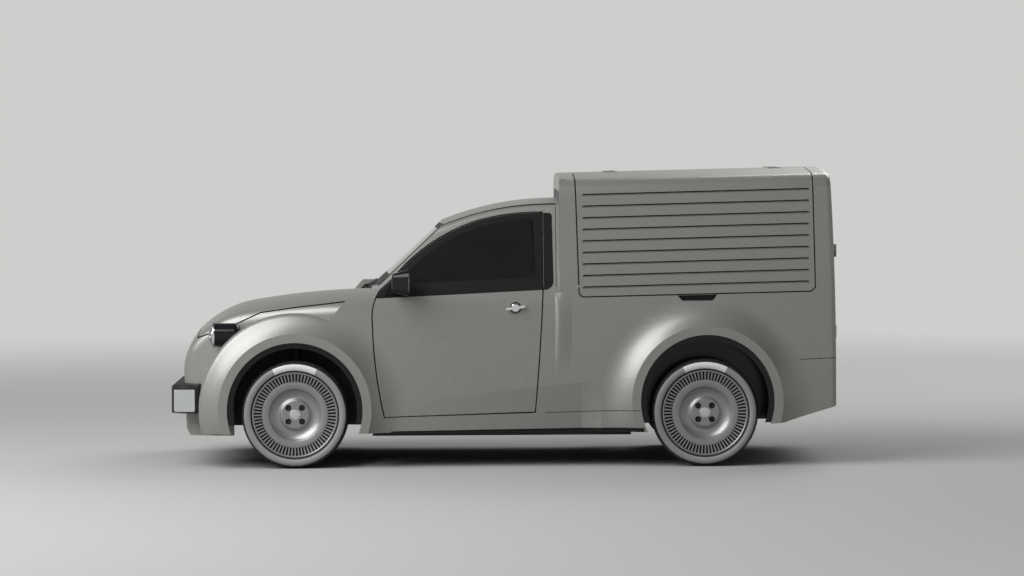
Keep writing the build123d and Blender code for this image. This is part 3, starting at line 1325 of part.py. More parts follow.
# Load floor: x from, x to, half width
LOAD_FLOOR = (
    (BOX_FRONT_X + BOX_WALL + SEAM, KICK_X, LOAD_HALF),
    (KICK_X, LOAD_REAR_X, TUB_HALF),
    (LOAD_REAR_X, TAIL_X - BOX_WALL - SEAM, LOAD_HALF),
)
with BuildPart() as load_floor:
    for x_low, x_high, half in LOAD_FLOOR:
        add(block(x_low, x_high, -half, half, load_low_z + SEAM, LOAD_Z))
write(load_floor, "load_floor")

# Cab inside: dashboard with the steering column, seats and steering wheel
column = Vector(math.cos(math.radians(COLUMN_DEG)), 0, math.sin(math.radians(COLUMN_DEG)))
wheel_centre = Vector(WHEEL_X, -DRIVER_Y, WHEEL_Z)
with BuildPart() as dashboard:
    add(across(outline(*DASH_POINTS), -DASH_HALF, DASH_HALF))
    free_edges = dashboard.edges().filter_by(Axis.Y).filter_by(lambda e: e.center().X > DASH_POINTS[2][0])
    fillet(free_edges, radius=DASH_ROUND)
    column_ends = (tuple(wheel_centre - column * COLUMN_LENGTH), tuple(wheel_centre - column * STEM))
    add(rod(*column_ends, COLUMN_RADIUS))
write(dashboard, "dashboard")

with BuildPart() as steering_wheel:
    with BuildSketch(Plane(wheel_centre, x_dir=(0, 1, 0), z_dir=column)):
        Circle(WHEEL_RADIUS)
        Circle(WHEEL_RADIUS - WHEEL_GRIP, mode=Mode.SUBTRACT)
        for spoke_deg in SPOKES_DEG:
            with Locations(Rotation(0, 0, spoke_deg)):
                with Locations((WHEEL_RADIUS / 2, 0)):
                    Rectangle(WHEEL_RADIUS - SPOKE_SHORT, SPOKE_WIDTH)
        Circle(WHEEL_HUB_RADIUS)
    extrude(amount=WHEEL_HALF_DEPTH, both=True)
    round_edges = steering_wheel.edges().filter_by(GeomType.CIRCLE)
    fillet(round_edges.filter_by(lambda e: e.radius > 2 * WHEEL_HUB_RADIUS), radius=WHEEL_ROUND)
    add(rod(tuple(wheel_centre - column * (STEM - SEAM)), tuple(wheel_centre), WHEEL_STEM_RADIUS))
write(steering_wheel, "steering_wheel")

with BuildPart() as left_seat:
    add(across(outline(*SEAT_POINTS), -DRIVER_Y - SEAT_HALF, -DRIVER_Y + SEAT_HALF))
    seat_edges = left_seat.edges().filter_by(Axis.Y)
    fillet(seat_edges.filter_by(lambda e: e.center().Z > SEAT_BASE_Z), radius=SEAT_ROUND)
    for x_low, x_high, y_low, y_high, z_low, z_high in SEAT_BLOCKS:
        add(block(x_low, x_high, y_low - DRIVER_Y, y_high - DRIVER_Y, z_low, z_high))
write(both_sides(left_seat.part), "seats")

# Steering knuckles with their struts, turning on the inclined steering axis
knuckle_x = (FRONT_AXLE_X - KNUCKLE_HALF_X, FRONT_AXLE_X + KNUCKLE_HALF_X)
spindle_ends = (
    (FRONT_AXLE_X, -WHEEL_Y - SPINDLE_TIP, TYRE_RADIUS),
    (FRONT_AXLE_X, -KNUCKLE_INNER, TYRE_RADIUS),
)
with BuildPart() as left_knuckle:
    add(block(*knuckle_x, -KNUCKLE_OUTER, -KNUCKLE_INNER, KNUCKLE_LOW_Z, KNUCKLE_HIGH_Z))
    fillet(left_knuckle.edges().filter_by(Axis.Y), radius=KNUCKLE_CORNER)
    add(rod(on_kingpin(STRUT_LOW_Z), on_kingpin(STRUT_TOP_Z), STRUT_RADIUS))
    add(rod(*spindle_ends, SPINDLE_RADIUS))
    add(rod(on_kingpin(PIN_LOW_Z), on_kingpin(PIN_HIGH_Z + SEAM), PIN_RADIUS + SEAM), mode=Mode.SUBTRACT)
for side in ("left", "right"):
    write(on_side(left_knuckle.part, side), f"knuckle_{side}")

# Wheels: a pressed rim with a blind hub bore, and a tyre on it; the outer side faces -Y
bore_radius = SPINDLE_RADIUS + BEARING_GAP
# Rim section: y from the middle plane, radius; the outer face first, then the hub bore and the back
RIM_SECTION = (
    (-RIM_WIDTH / 2, TYRE_BEAD - SEAM),
    (-RIM_WIDTH / 2, 231),
    (-78, 186),
    (-58, 142),
    (-50, 100),
    (-56, 76),
    (-56, 32),
    (-62, 26),
    (-62, 0),
    (-40, 0),
    (-40, bore_radius),
    (0, bore_radius),
    (0, 68),
    (-38, 100),
    (-44, 142),
    (-64, 186),
    (-72, 228),
    (82, 232),
    (RIM_WIDTH / 2, TYRE_BEAD - SEAM),
)
with BuildPart() as wheel_rim:
    with BuildSketch(Plane.YZ):
        with BuildLine():
            Polyline(*RIM_SECTION, close=True)
        make_face()
    revolve(axis=Axis.Y)
    with BuildSketch(Plane.XZ.offset(BOLT_FACE_Y)):
        with PolarLocations(BOLT_CIRCLE, BOLT_COUNT, start_angle=BOLT_START_DEG):
            Circle(BOLT_RADIUS)
    extrude(amount=BOLT_DEPTH, mode=Mode.SUBTRACT)

with BuildPart() as wheel_tyre:
    half = TYRE_WIDTH / 2
    with BuildSketch(Plane.YZ):
        with BuildLine():
            Line((-TREAD_HALF, TYRE_BEAD), (TREAD_HALF, TYRE_BEAD))
            ThreePointArc((TREAD_HALF, TYRE_BEAD), (half, TYRE_BULGE), (TREAD_HALF, TYRE_EDGE))
            ThreePointArc((TREAD_HALF, TYRE_EDGE), (0, TYRE_RADIUS), (-TREAD_HALF, TYRE_EDGE))
            ThreePointArc((-TREAD_HALF, TYRE_EDGE), (-half, TYRE_BULGE), (-TREAD_HALF, TYRE_BEAD))
        make_face()
    revolve(axis=Axis.Y)

for place, axle_x in (("front", FRONT_AXLE_X), ("rear", REAR_AXLE_X)):
    spot = Location((axle_x, -WHEEL_Y, TYRE_RADIUS))
    for side in ("left", "right"):
        write(on_side(wheel_rim.part.moved(spot), side), f"rim_{place}_{side}")
        write(on_side(wheel_tyre.part.moved(spot), side), f"tyre_{place}_{side}")
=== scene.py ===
import json
import math

import bmesh
import bpy
from mathutils import Matrix, Vector
from mathutils.bvhtree import BVHTree
from mathutils.geometry import tessellate_polygon


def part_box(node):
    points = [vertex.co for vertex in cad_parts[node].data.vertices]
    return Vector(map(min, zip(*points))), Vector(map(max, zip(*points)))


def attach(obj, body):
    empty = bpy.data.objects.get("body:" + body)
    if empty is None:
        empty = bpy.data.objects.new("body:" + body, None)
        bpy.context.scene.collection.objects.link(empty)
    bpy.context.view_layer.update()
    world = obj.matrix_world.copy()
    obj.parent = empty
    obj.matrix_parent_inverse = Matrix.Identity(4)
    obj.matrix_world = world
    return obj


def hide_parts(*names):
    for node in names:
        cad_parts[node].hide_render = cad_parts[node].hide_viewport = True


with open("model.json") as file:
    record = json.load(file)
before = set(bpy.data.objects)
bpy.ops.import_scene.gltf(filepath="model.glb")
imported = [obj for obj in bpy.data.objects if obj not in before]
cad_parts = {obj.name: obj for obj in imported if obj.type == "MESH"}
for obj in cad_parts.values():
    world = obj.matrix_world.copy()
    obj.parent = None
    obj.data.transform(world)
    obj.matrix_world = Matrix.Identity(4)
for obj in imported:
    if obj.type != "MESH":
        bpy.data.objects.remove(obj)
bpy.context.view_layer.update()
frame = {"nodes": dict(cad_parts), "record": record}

nodes = frame["nodes"]

# Sizes that several pieces share, in millimetres: +X runs to the rear, +Y to the van's right, +Z up
MM = 0.001  # in metres
SIDES = (("left", -1), ("right", 1))  # each with the sign of its y
WHEELS = [(axle, side, sign) for axle in ("front", "rear") for side, sign in SIDES]
AXLE_X = {"front": -1182, "rear": 1140}
WHEEL_Y, TYRE_RADIUS = 702, 304
BODY_HALF = 765
AHEAD, BESIDE, OVER = -2000, 1200, 2500  # x, y and z where rays towards the van start

# Materials, all from nodes in object space
GRAIN_DETAIL = 5
BROAD_SCALE, BROAD_DETAIL = 2.3, 3
GRAIN_RAMP = (0.3, 0.7)  # noise values of the darkest and the palest colour
ROUGH_VARY, ROUGH_LEAST = 0.18, 0.02
COAT_ROUGH = 0.12
RELIEF_DEPTH = 0.001  # in metres


def add_node(tree, kind, **values):
    """A new shader node with some inputs set, where _ stands for a space in an input's name."""
    made = tree.nodes.new("ShaderNode" + kind)
    for key, value in values.items():
        made.inputs[key.replace("_", " ")].default_value = value
    return made


def colour_ramp(tree, *stops):
    """A colour ramp between two stops, each a position and a colour."""
    made = add_node(tree, "ValToRGB")
    for element, (position, colour) in zip(made.color_ramp.elements, stops):
        element.position = position
        element.color = (*colour, 1)
    return made


def surface(
    name, colour, rough, grain, vary, bump, metal=0.0, coat=0.0, speck=0.0, see=0.0, shine=0.5,
    streak=(1, 1, 1),
):
    """A principled surface whose colour, roughness and relief vary with noise."""
    made = bpy.data.materials.new(name)
    made.use_nodes = True
    tree = made.node_tree
    link = tree.links.new
    shader = tree.nodes["Principled BSDF"]
    coord = add_node(tree, "TexCoord")
    place = add_node(tree, "Mapping", Scale=streak)
    noise = add_node(tree, "TexNoise", Scale=grain, Detail=GRAIN_DETAIL)
    broad = add_node(tree, "TexNoise", Scale=BROAD_SCALE, Detail=BROAD_DETAIL)
    link(coord.outputs["Object"], place.inputs["Vector"])
    link(place.outputs["Vector"], noise.inputs["Vector"])
    link(place.outputs["Vector"], broad.inputs["Vector"])
    shades = [[min(1, c * share) for c in colour] for share in (1 - vary, 1 + vary)]
    ramp = colour_ramp(tree, *zip(GRAIN_RAMP, shades))
    link(noise.outputs["Fac"], ramp.inputs["Fac"])
    link(ramp.outputs["Color"], shader.inputs["Base Color"])
    smoothest, roughest = max(ROUGH_LEAST, rough * (1 - ROUGH_VARY)), min(1, rough * (1 + ROUGH_VARY))
    spread = add_node(tree, "MapRange", To_Min=smoothest, To_Max=roughest)
    link(broad.outputs["Fac"], spread.inputs["Value"])
    link(spread.outputs["Result"], shader.inputs["Roughness"])
    height = noise.outputs["Fac"]
    if speck:
        flakes = add_node(tree, "TexVoronoi", Scale=speck)
        link(place.outputs["Vector"], flakes.inputs["Vector"])
        height = flakes.outputs["Color"]
    relief = add_node(tree, "Bump", Strength=bump, Distance=RELIEF_DEPTH)
    link(height, relief.inputs["Height"])
    link(relief.outputs["Normal"], shader.inputs["Normal"])
    for key, value in (
        ("Metallic", metal), ("Specular IOR Level", shine), ("Coat Weight", coat),
        ("Coat Roughness", COAT_ROUGH), ("Transmission Weight", see),
    ):
        shader.inputs[key].default_value = value
    return made


PAINT = surface(
    "paint", (0.295, 0.291, 0.278), 0.40, metal=0.5, grain=240, vary=0.12, bump=0.08, coat=0.12, speck=420
)
BLACK = surface("black_plastic", (0.014, 0.014, 0.015), 0.5, grain=700, vary=0.25, bump=0.12, shine=0.2)
GLOSS = surface(
    "gloss_black", (0.007, 0.007, 0.008), 0.2, grain=120, vary=0.2, bump=0.01, coat=0.15, shine=0.25
)
CHROME = surface("chrome", (0.72, 0.73, 0.74), 0.10, metal=1.0, grain=90, vary=0.04, bump=0.01)
BRIGHT = surface("bright_block", (0.62, 0.64, 0.65), 0.28, metal=0.7, grain=160, vary=0.05, bump=0.03)
MATTE = surface("matte_black", (0.008, 0.008, 0.008), 0.45, grain=500, vary=0.25, bump=0.05, shine=0.2)
GLASS = surface(
    "tinted_glass", (0.020, 0.020, 0.021), 0.03, grain=6, vary=0.12, bump=0.0, see=0.4, shine=0.22
)
CLEAR = surface("clear_lens", (0.55, 0.57, 0.58), 0.06, grain=40, vary=0.03, bump=0.01, see=0.9, shine=0.25)
RED = surface("red_lens", (0.38, 0.012, 0.012), 0.12, grain=50, vary=0.2, bump=0.04, coat=0.6)
CHASSIS = surface("chassis", (0.030, 0.030, 0.031), 0.6, grain=60, vary=0.3, bump=0.15)
CASING = surface("casting", (0.30, 0.31, 0.32), 0.55, metal=0.6, grain=260, vary=0.15, bump=0.3)
LINING = surface("lining", (0.11, 0.11, 0.108), 0.8, grain=500, vary=0.2, bump=0.25)
FABRIC = surface(
    "seat_fabric", (0.045, 0.045, 0.048), 0.9, grain=900, vary=0.45, bump=0.6, streak=(1, 1, 0.35)
)
LEATHER = surface("wheel_leather", (0.020, 0.019, 0.019), 0.55, grain=650, vary=0.3, bump=0.4)
ALLOY = surface("rim_silver", (0.29, 0.295, 0.30), 0.36, metal=0.6, grain=320, vary=0.05, bump=0.03, coat=0.2)
# Black for painted shade in the rims: the slots behind the fins, the barrels, the backs and the bolt holes
SHADE = surface("rim_painted_shade", (0.020, 0.020, 0.021), 0.6, grain=200, vary=0.3, bump=0.1)
RUBBER = surface("tyre_rubber", (0.024, 0.024, 0.025), 0.72, grain=420, vary=0.25, bump=0.2)
WHITE = surface("white_wall", (0.30, 0.30, 0.297), 0.55, grain=380, vary=0.06, bump=0.06)
PATCH = surface("white_patch", (0.84, 0.84, 0.83), 0.5, grain=380, vary=0.03, bump=0.04)
STEEL = surface("bolt_steel", (0.34, 0.34, 0.35), 0.35, metal=0.9, grain=200, vary=0.12, bump=0.05)
MIRROR = surface("mirror_face", (0.80, 0.82, 0.84), 0.03, metal=1.0, grain=20, vary=0.02, bump=0.0)
SCREEN = surface("display", (0.006, 0.007, 0.009), 0.08, grain=80, vary=0.2, bump=0.0, coat=0.6)

SLOT_LOOKS = {
    "black_plastic": BLACK, "gloss_black": GLOSS, "chrome": CHROME, "glass": GLASS, "lamp_red": RED,
    "chassis": CHASSIS, "casing": CASING, "lining": LINING, "seat": FABRIC, "rim": ALLOY, "tyre": RUBBER,
    "paint": PAINT,
}
NODE_LOOKS = {
    "headlamp_lenses": CLEAR, "bumper_blades": BRIGHT, "steering_wheel": LEATHER, "arch_liners": GLOSS,
    "mirror_left": GLOSS, "mirror_right": GLOSS,
}
for part in frame["record"]["subparts"]:
    held = nodes[part["node"]]
    held.data.materials.clear()
    held.data.materials.append(NODE_LOOKS.get(part["node"], SLOT_LOOKS[part["material_slot"]]))

# Mesh helpers, in millimetres
MITRE_LEAST = 0.4
CORNER_STEPS = 6
TUBE_SIDES = 10
SIDEWAYS = 0.9  # share of y in a tube's run from which its sides are set by z
COARSE, MEDIUM, FINE, HEXAGON = 24, 48, 96, 6  # segments of turned forms and circles


def piece(name, bm, looks, body, smooth):
    """Finish a bmesh as a piece that rides on a body, smooth up to an angle in degrees."""
    bmesh.ops.recalc_face_normals(bm, faces=bm.faces)
    data = bpy.data.meshes.new(name)
    bm.transform(Matrix.Scale(MM, 4))
    bm.to_mesh(data)
    bm.free()
    for look in looks:
        data.materials.append(look)
    made = bpy.data.objects.new(name, data)
    bpy.context.scene.collection.objects.link(made)
    data.shade_smooth()
    data.set_sharp_from_angle(angle=math.radians(smooth))
    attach(made, body)
    return made


def moved(bm, spot, turn=0, axis="Y", mirror=False):
    """Turn a bmesh about an axis, in degrees, mirror it in y where asked, and move it to a spot."""
    if turn:
        about = Matrix.Rotation(math.radians(turn), 3, axis)
        bmesh.ops.rotate(bm, verts=bm.verts, cent=(0, 0, 0), matrix=about)
    if mirror:
        bmesh.ops.transform(bm, matrix=Matrix.Scale(-1, 3, (0, 1, 0)), verts=bm.verts)
    bmesh.ops.translate(bm, verts=bm.verts, vec=spot)
    return bm


def merge(bm, other, look):
    """Add another bmesh to this one under a look index."""
    for face in other.faces:
        face.material_index = look
    data = bpy.data.meshes.new("merged")
    other.to_mesh(data)
    other.free()
    bm.from_mesh(data)
    bpy.data.meshes.remove(data)


def spaced(start, end, count):
    """Points at equal steps from a start to an end, both included."""
    return [tuple(a + (b - a) * i / count for a, b in zip(start, end)) for i in range(count + 1)]


def circle(radius, spot=(0, 0), count=MEDIUM, start=0):
    """A closed loop of points on a circle."""
    turns = [start + 2 * math.pi * i / count for i in range(count)]
    return [(spot[0] + radius * math.cos(t), spot[1] + radius * math.sin(t)) for t in turns]


def arc(start, middle, end, count=14):
    """Points on the circle through three points, without the last one."""
    a, b, c = (Vector(p) for p in (start, middle, end))
    a2, b2, c2 = (p.length_squared for p in (a, b, c))
    d = 2 * (a.x * (b.y - c.y) + b.x * (c.y - a.y) + c.x * (a.y - b.y))
    hub = Vector((
        (a2 * (b.y - c.y) + b2 * (c.y - a.y) + c2 * (a.y - b.y)) / d,
        (a2 * (c.x - b.x) + b2 * (a.x - c.x) + c2 * (b.x - a.x)) / d,
    ))
    turn = (a - hub).angle_signed(c - hub)
    return [tuple(hub + Matrix.Rotation(-turn * i / count, 2) @ (a - hub)) for i in range(count)]


def rounded(corners, radius):
    """A loop with its corners rounded."""
    loop = []
    for i, corner in enumerate(corners):
        here = Vector(corner)
        before = (Vector(corners[i - 1]) - here).normalized()
        after = (Vector(corners[(i + 1) % len(corners)]) - here).normalized()
        half = before.angle(after) / 2
        reach = radius / math.tan(half)
        hub = here + (before + after).normalized() * radius / math.sin(half)
        middle = hub + (here - hub).normalized() * radius
        loop += arc(here + before * reach, middle, here + after * reach, CORNER_STEPS)
        loop.append(tuple(here + after * reach))
    return loop


def box_loop(half_u, half_v, radius):
    """A rounded rectangle about the origin."""
    return rounded(((-half_u, -half_v), (half_u, -half_v), (half_u, half_v), (-half_u, half_v)), radius)


def inset(loop, amount):
    """A closed 2-D loop moved inwards along its corner normals."""
    area = sum(a[0] * b[1] - b[0] * a[1] for a, b in zip(loop, loop[1:] + loop[:1]))
    flip = 1 if area > 0 else -1
    shrunk = []
    for i, here in enumerate(loop):
        before = (Vector(here) - Vector(loop[i - 1])).normalized()
        after = (Vector(loop[(i + 1) % len(loop)]) - Vector(here)).normalized()
        normal = Vector((-(before + after).y, (before + after).x)).normalized() * flip
        mitre = max(MITRE_LEAST, normal.dot(Vector((-after.y, after.x)) * flip))
        shrunk.append(tuple(Vector(here) + normal * amount / mitre))
    return shrunk


def above(loop, low, high):
    """The part of a loop above the line through two points."""
    def height(p):
        """How far a point is above the line."""
        return p[1] - low[1] - (p[0] - low[0]) * (high[1] - low[1]) / (high[0] - low[0])

    kept = []
    for here, after in zip(loop, loop[1:] + loop[:1]):
        if height(here) >= 0:
            kept.append(here)
        if (height(here) >= 0) != (height(after) >= 0):
            share = height(here) / (height(here) - height(after))
            kept.append((here[0] + (after[0] - here[0]) * share, here[1] + (after[1] - here[1]) * share))
    return kept


def filled(bm, loops, point):
    """Faces over 2-D loops, the first the outline and the rest holes, with a 3-D point for each 2-D one."""
    verts = [bm.verts.new(point(u, v)) for loop in loops for u, v in loop]
    for triangle in tessellate_polygon([[Vector((u, v, 0)) for u, v in loop] for loop in loops]):
        bm.faces.new([verts[i] for i in triangle])


def sheet(loops, place, cuts=(), thick=0.6):
    """A thin solid over 2-D loops, set by a place function; cuts are an axis, 0 or 2, and where it is cut."""
    bm = bmesh.new()
    filled(bm, loops, lambda u, v: (u, 0, v))
    for axis, values in cuts:
        normal = Vector([1 if k == axis else 0 for k in range(3)])
        for value in values:
            geom = bm.verts[:] + bm.edges[:] + bm.faces[:]
            bmesh.ops.bisect_plane(bm, geom=geom, plane_co=normal * value, plane_no=normal)
    fronts, faces = bm.verts[:], bm.faces[:]
    rim = [e.verts[:] for e in bm.edges if len(e.link_faces) == 1]
    backs = {v: bm.verts.new(place(v.co.x, v.co.z, thick)) for v in fronts}
    for v in fronts:
        v.co = place(v.co.x, v.co.z, 0)
    for f in faces:
        bm.faces.new([backs[v] for v in reversed(f.verts)])
    for a, b in rim:
        bm.faces.new([a, b, backs[b], backs[a]])
    return bm


def turned(profile, count, cut=None, look=None, closed=False):
    """A profile of (y, radius) turned about the Y axis, with a cut per point and a look index per face."""
    bm = bmesh.new()
    rings = []
    for i in range(count):
        angle = 2 * math.pi * i / count
        ring = []
        for step, (y, radius) in enumerate(profile):
            r = radius - cut(step, i) if cut else radius
            ring.append(bm.verts.new((r * math.cos(angle), y, r * math.sin(angle))))
        rings.append(ring)
    for i, ring in enumerate(rings):
        after = rings[(i + 1) % count]
        for step in range(len(profile) - (0 if closed else 1)):
            ahead = (step + 1) % len(profile)
            face = bm.faces.new([ring[step], ring[ahead], after[ahead], after[step]])
            face.material_index = look(step, i) if look else 0
    return bm


def slab(bm, corners_low, corners_high):
    """A six-sided solid between two four-sided ends."""
    low = [bm.verts.new(c) for c in corners_low]
    high = [bm.verts.new(c) for c in corners_high]
    bm.faces.new(low)
    bm.faces.new(list(reversed(high)))
    for i in range(4):
        bm.faces.new([low[i], high[i], high[(i + 1) % 4], low[(i + 1) % 4]])


def tube(name, points, radius, look, body, flat=1.0):
    """A round or flattened bar along points."""
    bm = bmesh.new()
    path = [Vector(p) for p in points]
    turns = [2 * math.pi * k / TUBE_SIDES for k in range(TUBE_SIDES)]
    rings = []
    for i, here in enumerate(path):
        run = (path[min(i + 1, len(path) - 1)] - path[max(i - 1, 0)]).normalized()
        out = Vector((0, 1, 0)) if abs(run.y) < SIDEWAYS else Vector((0, 0, 1))
        across = run.cross(out).normalized()
        out = across.cross(run)
        rings.append([
            bm.verts.new(here + (across * math.cos(t) + out * math.sin(t) * flat) * radius) for t in turns
        ])
    for a, b in zip(rings, rings[1:]):
        for k in range(TUBE_SIDES):
            beside = (k + 1) % TUBE_SIDES
            bm.faces.new([a[k], a[beside], b[beside], b[k]])
    bm.faces.new(rings[0])
    bm.faces.new(list(reversed(rings[-1])))
    return piece(name, bm, [look], body, smooth=60)


# Place functions: where a point of a sheet goes, at a depth under its outer face
def facing_rear(x, y, z):
    """Lays a sheet on an upright plane that faces the rear, about a spot."""
    return lambda u, v, depth: (x - depth, y + u, z + v)


def facing_side(sign, half):
    """Lays a sheet of the side view on an upright plane that faces sideways."""
    return lambda x, z, depth: (x, sign * (half - depth), z)


# The CAD surfaces, for setting trim on them
CAB_BEND_Z, CAB_BEND_RADIUS, CAB_LEAN = 930, 300, math.radians(19)  # where the cab's side leans in
CAB_CUTS = [(2, [*range(935, 1036, 10), *range(1060, 1440, 40)]), (0, range(-680, 260, 60))]


def tree_of(*names):
    """A search tree over some CAD nodes, in millimetres."""
    points, faces = [], []
    for name in names:
        data = nodes[name].data
        start = len(points)
        points += [v.co / MM for v in data.vertices]
        faces += [[start + i for i in p.vertices] for p in data.polygons]
    return BVHTree.FromPolygons(points, faces)


def hit(tree, start, run):
    """The first point that a ray meets, or None."""
    return tree.ray_cast(Vector(start), Vector(run))[0]


def cab_side_y(z):
    """Half width of the cab's side at a height: upright, then a bend, then leaning in."""
    hub_y = BODY_HALF - CAB_BEND_RADIUS
    bend_top = CAB_BEND_Z + CAB_BEND_RADIUS * math.sin(CAB_LEAN)
    if z <= CAB_BEND_Z:
        return BODY_HALF
    if z <= bend_top:
        return hub_y + math.sqrt(CAB_BEND_RADIUS**2 - (z - CAB_BEND_Z) ** 2)
    return hub_y + CAB_BEND_RADIUS * math.cos(CAB_LEAN) - (z - bend_top) * math.tan(CAB_LEAN)


def on_cab(sign, lift):
    """Lays a sheet of the side view on the cab's side."""
    return lambda x, z, depth: (x, sign * (cab_side_y(z) + lift - depth), z)


# Black borders of the door panes, their rear edges and the plate on the centre pillar
DOOR_LOOP = [
    *arc((-673, 289), (-722, 576), (-738, 820)), *arc((-738, 820), (-732, 920), (-697, 1003)), (-697, 1003),
    *arc((-629, 1064), (-421, 1257), (-149, 1391)), *arc((-149, 1391), (30, 1427), (206, 1437)), (206, 1437),
    *arc((222, 1003), (206, 700), (175, 314)), (175, 314),
]
PANE_INSET, PANE_BELT = 0.6, ((-656, 963.5), (246, 1005.5))
WINDOW_INSET, WINDOW_BELT = 36, ((-656, 1036), (246, 1078))
PANE_LOOP = above(inset(DOOR_LOOP, PANE_INSET), *PANE_BELT)
WINDOW_LOOP = above(inset(DOOR_LOOP, WINDOW_INSET), *WINDOW_BELT)
PANE_EDGE_LOOP = [(203, 1436.4), (223.5, 1436.4), (224, 1040), (222.5, 1003.5), (218, 1003.5)]
PILLAR_LOOP = [(229.5, 1004), (250, 1006), (276, 1024), (285, 1045), (279, 1424), (270, 1436), (229.5, 1438)]
CAB_TRIM = (  # name, body, loops, lift off the side, thickness
    ("pane_border", "door_{}", [PANE_LOOP, WINDOW_LOOP], 0.9, 0.6),
    ("pane_edge", "door_{}", [PANE_EDGE_LOOP], 0.8, 6.0),
    ("pillar_plate", "body", [PILLAR_LOOP], 1.2, 1.0),
)
for side, sign in SIDES:
    for name, body, loops, lift, thick in CAB_TRIM:
        trim = sheet(loops, on_cab(sign, lift), CAB_CUTS, thick)
        piece(f"{name}_{side}", trim, [MATTE], body.format(side), smooth=20)

# Windscreen border
SCREEN_LOOP = rounded(((-667, 1028), (667, 1028), (565, 1376), (-565, 1376)), 40)
CLEAR_LOOP = rounded(((-628, 1092), (628, 1092), (538, 1350), (-538, 1350)), 36)
SCREEN_CUTS = [(2, range(1040, 1376, 24)), (0, range(-640, 641, 40))]
SCREEN_FOOT, SCREEN_SLOPE = (-755, 1015), 1.09  # x and z, and x per z, where a ray passes the screen
SCREEN_LIFT = 0.8
screen_tree = tree_of("windscreen")


def on_screen(y, z, depth):
    """Lays a point of the front view on the windscreen."""
    spot = hit(screen_tree, (AHEAD, y, z), (1, 0, 0))
    x = spot.x if spot else SCREEN_FOOT[0] + (z - SCREEN_FOOT[1]) * SCREEN_SLOPE
    return (x - SCREEN_LIFT + depth, y, z)


border = sheet([SCREEN_LOOP, CLEAR_LOOP], on_screen, SCREEN_CUTS)
piece("screen_border", border, [MATTE], "body", smooth=20)

# Black seal up the edge of the windscreen, as y and z, and along the roof, as x and y
SEAL_RADIUS = 4.5
SEAL_SCREEN = spaced((664, 1032), (574, 1345), 20)
SEAL_ROOF = [(-345, 575), (-320, 579), (-295, 581), *spaced((-270, 582), (300, 582), 19)]
roof_tree = tree_of("cab_frame", "windscreen")
for side, sign in SIDES:
    line = [hit(roof_tree, (AHEAD, sign * y, z), (1, 0, 0)) for y, z in SEAL_SCREEN]
    line += [hit(roof_tree, (x, sign * y, OVER), (0, 0, -1)) for x, y in SEAL_ROOF]
    tube(f"roof_seal_{side}", line, SEAL_RADIUS, MATTE, "body")

# Tyres with a white side and a grooved tread; their outer side faces -Y
TREAD_GROOVES = (-52, -18, 18, 52)
TREAD_GROOVE_HALF, TREAD_GROOVE_FOOT, TREAD_GROOVE_DEPTH = 5, 4, 7
TREAD_HALF, TREAD_DROP = 80, 5
tread = []
for middle in TREAD_GROOVES:
    crown = TYRE_RADIUS - (middle / TREAD_HALF) ** 2 * TREAD_DROP
    floor_r = crown - TREAD_GROOVE_DEPTH
    tread += [
        (middle - TREAD_GROOVE_HALF, crown), (middle - TREAD_GROOVE_FOOT, floor_r),
        (middle + TREAD_GROOVE_FOOT, floor_r), (middle + TREAD_GROOVE_HALF, crown),
    ]
TYRE = [
    (-80, 243.2), (-88, 246), (-92, 250), (-93.2, 252), (-97.2, 262), (-97.5, 272), (-96.4, 282),
    (-93.2, 288), (-91, 289.5), (-86, 294.5), (-80, 298), *tread, (80, 298), (86, 294.5), (93, 287),
    (97.5, 272), (93, 252), (80, 243.2),
]
TYRE_SEGMENTS = 180
WHITE_STEPS = range(3, 7)  # steps of TYRE that are white
PATCH_MIDDLE_DEG, PATCH_HALF_DEG = 90, 27  # bright patch at the top of the white side
SHOULDER_STEPS = (9, 10, 11, 26, 27, 28)  # points of TYRE that the cross grooves cut
SHOULDER_CUT, SHOULDER_PITCH = 4.5, 4  # depth of the cross grooves, and segments from one to the next


def tread_cut(step, i):
    """Depth of the cross grooves in the two shoulders."""
    return SHOULDER_CUT if step in SHOULDER_STEPS and i % SHOULDER_PITCH == 0 else 0


def tyre_look(step, i):
    """Look index of a tyre's face: rubber, white side or bright patch."""
    if step not in WHITE_STEPS:
        return 0
    angle = 360 * (i + 0.5) / TYRE_SEGMENTS
    return 2 if abs(angle - PATCH_MIDDLE_DEG) < PATCH_HALF_DEG else 1


# Rims with radial fins, four bolts in cups and a cap, as profiles of (y, radius)
HUB_Y, HUB_RADIUS, CAP_RADIUS = -58, 72, 30
RIM = [
    (-86, 242.6), (-88, 241), (-88, 236), (-85, 232.5), (-70, 231), (-62, 229), (-60, 190), (-74, 187.5),
    (-79, 186), (-79.6, 184), (-75, 149), (-73.6, 146.4), (-65, 144), (-59, 137), (-51, 121), (-47, 106),
    (-47, 96), (-50, 88), (-54.5, 84), (-57, 79), (HUB_Y, HUB_RADIUS),
]
RIM_SEGMENTS = 144
# The ring behind the fins is black: painted shade in the slots between them
DARK_STEPS = range(4, 7)  # dark bottom of the ring behind the fins
CAP = [(HUB_Y, CAP_RADIUS), (-59.5, 29), (-60.5, 25), (-61, 16), (-61.2, 0.5)]
BARREL = [(-62, 229), (70, 226), (80, 232), (86, 242.6), (-86, 242.6)]
RIM_BACK = [(-56, 34), (-30, 34), (-20, 100), (-40, 142), (-52, 186), (-54, 229)]
BOLT_RING, BOLT_HOLE, BOLT_COUNT, BOLT_START = 55, 17.5, 4, math.radians(45)
BOLT_SPOTS = circle(BOLT_RING, count=BOLT_COUNT, start=BOLT_START)
BOLT_CUP = [(HUB_Y, BOLT_HOLE), (-44, BOLT_HOLE - 1), (-43, 0.4)]
BOLT = [(-44, 11), (-49, 11), (-50, 9.6), (-50, 6), (-46, 5.6), (-46, 0.3)]
FINS, FIN_HALF = 72, math.radians(1.05)
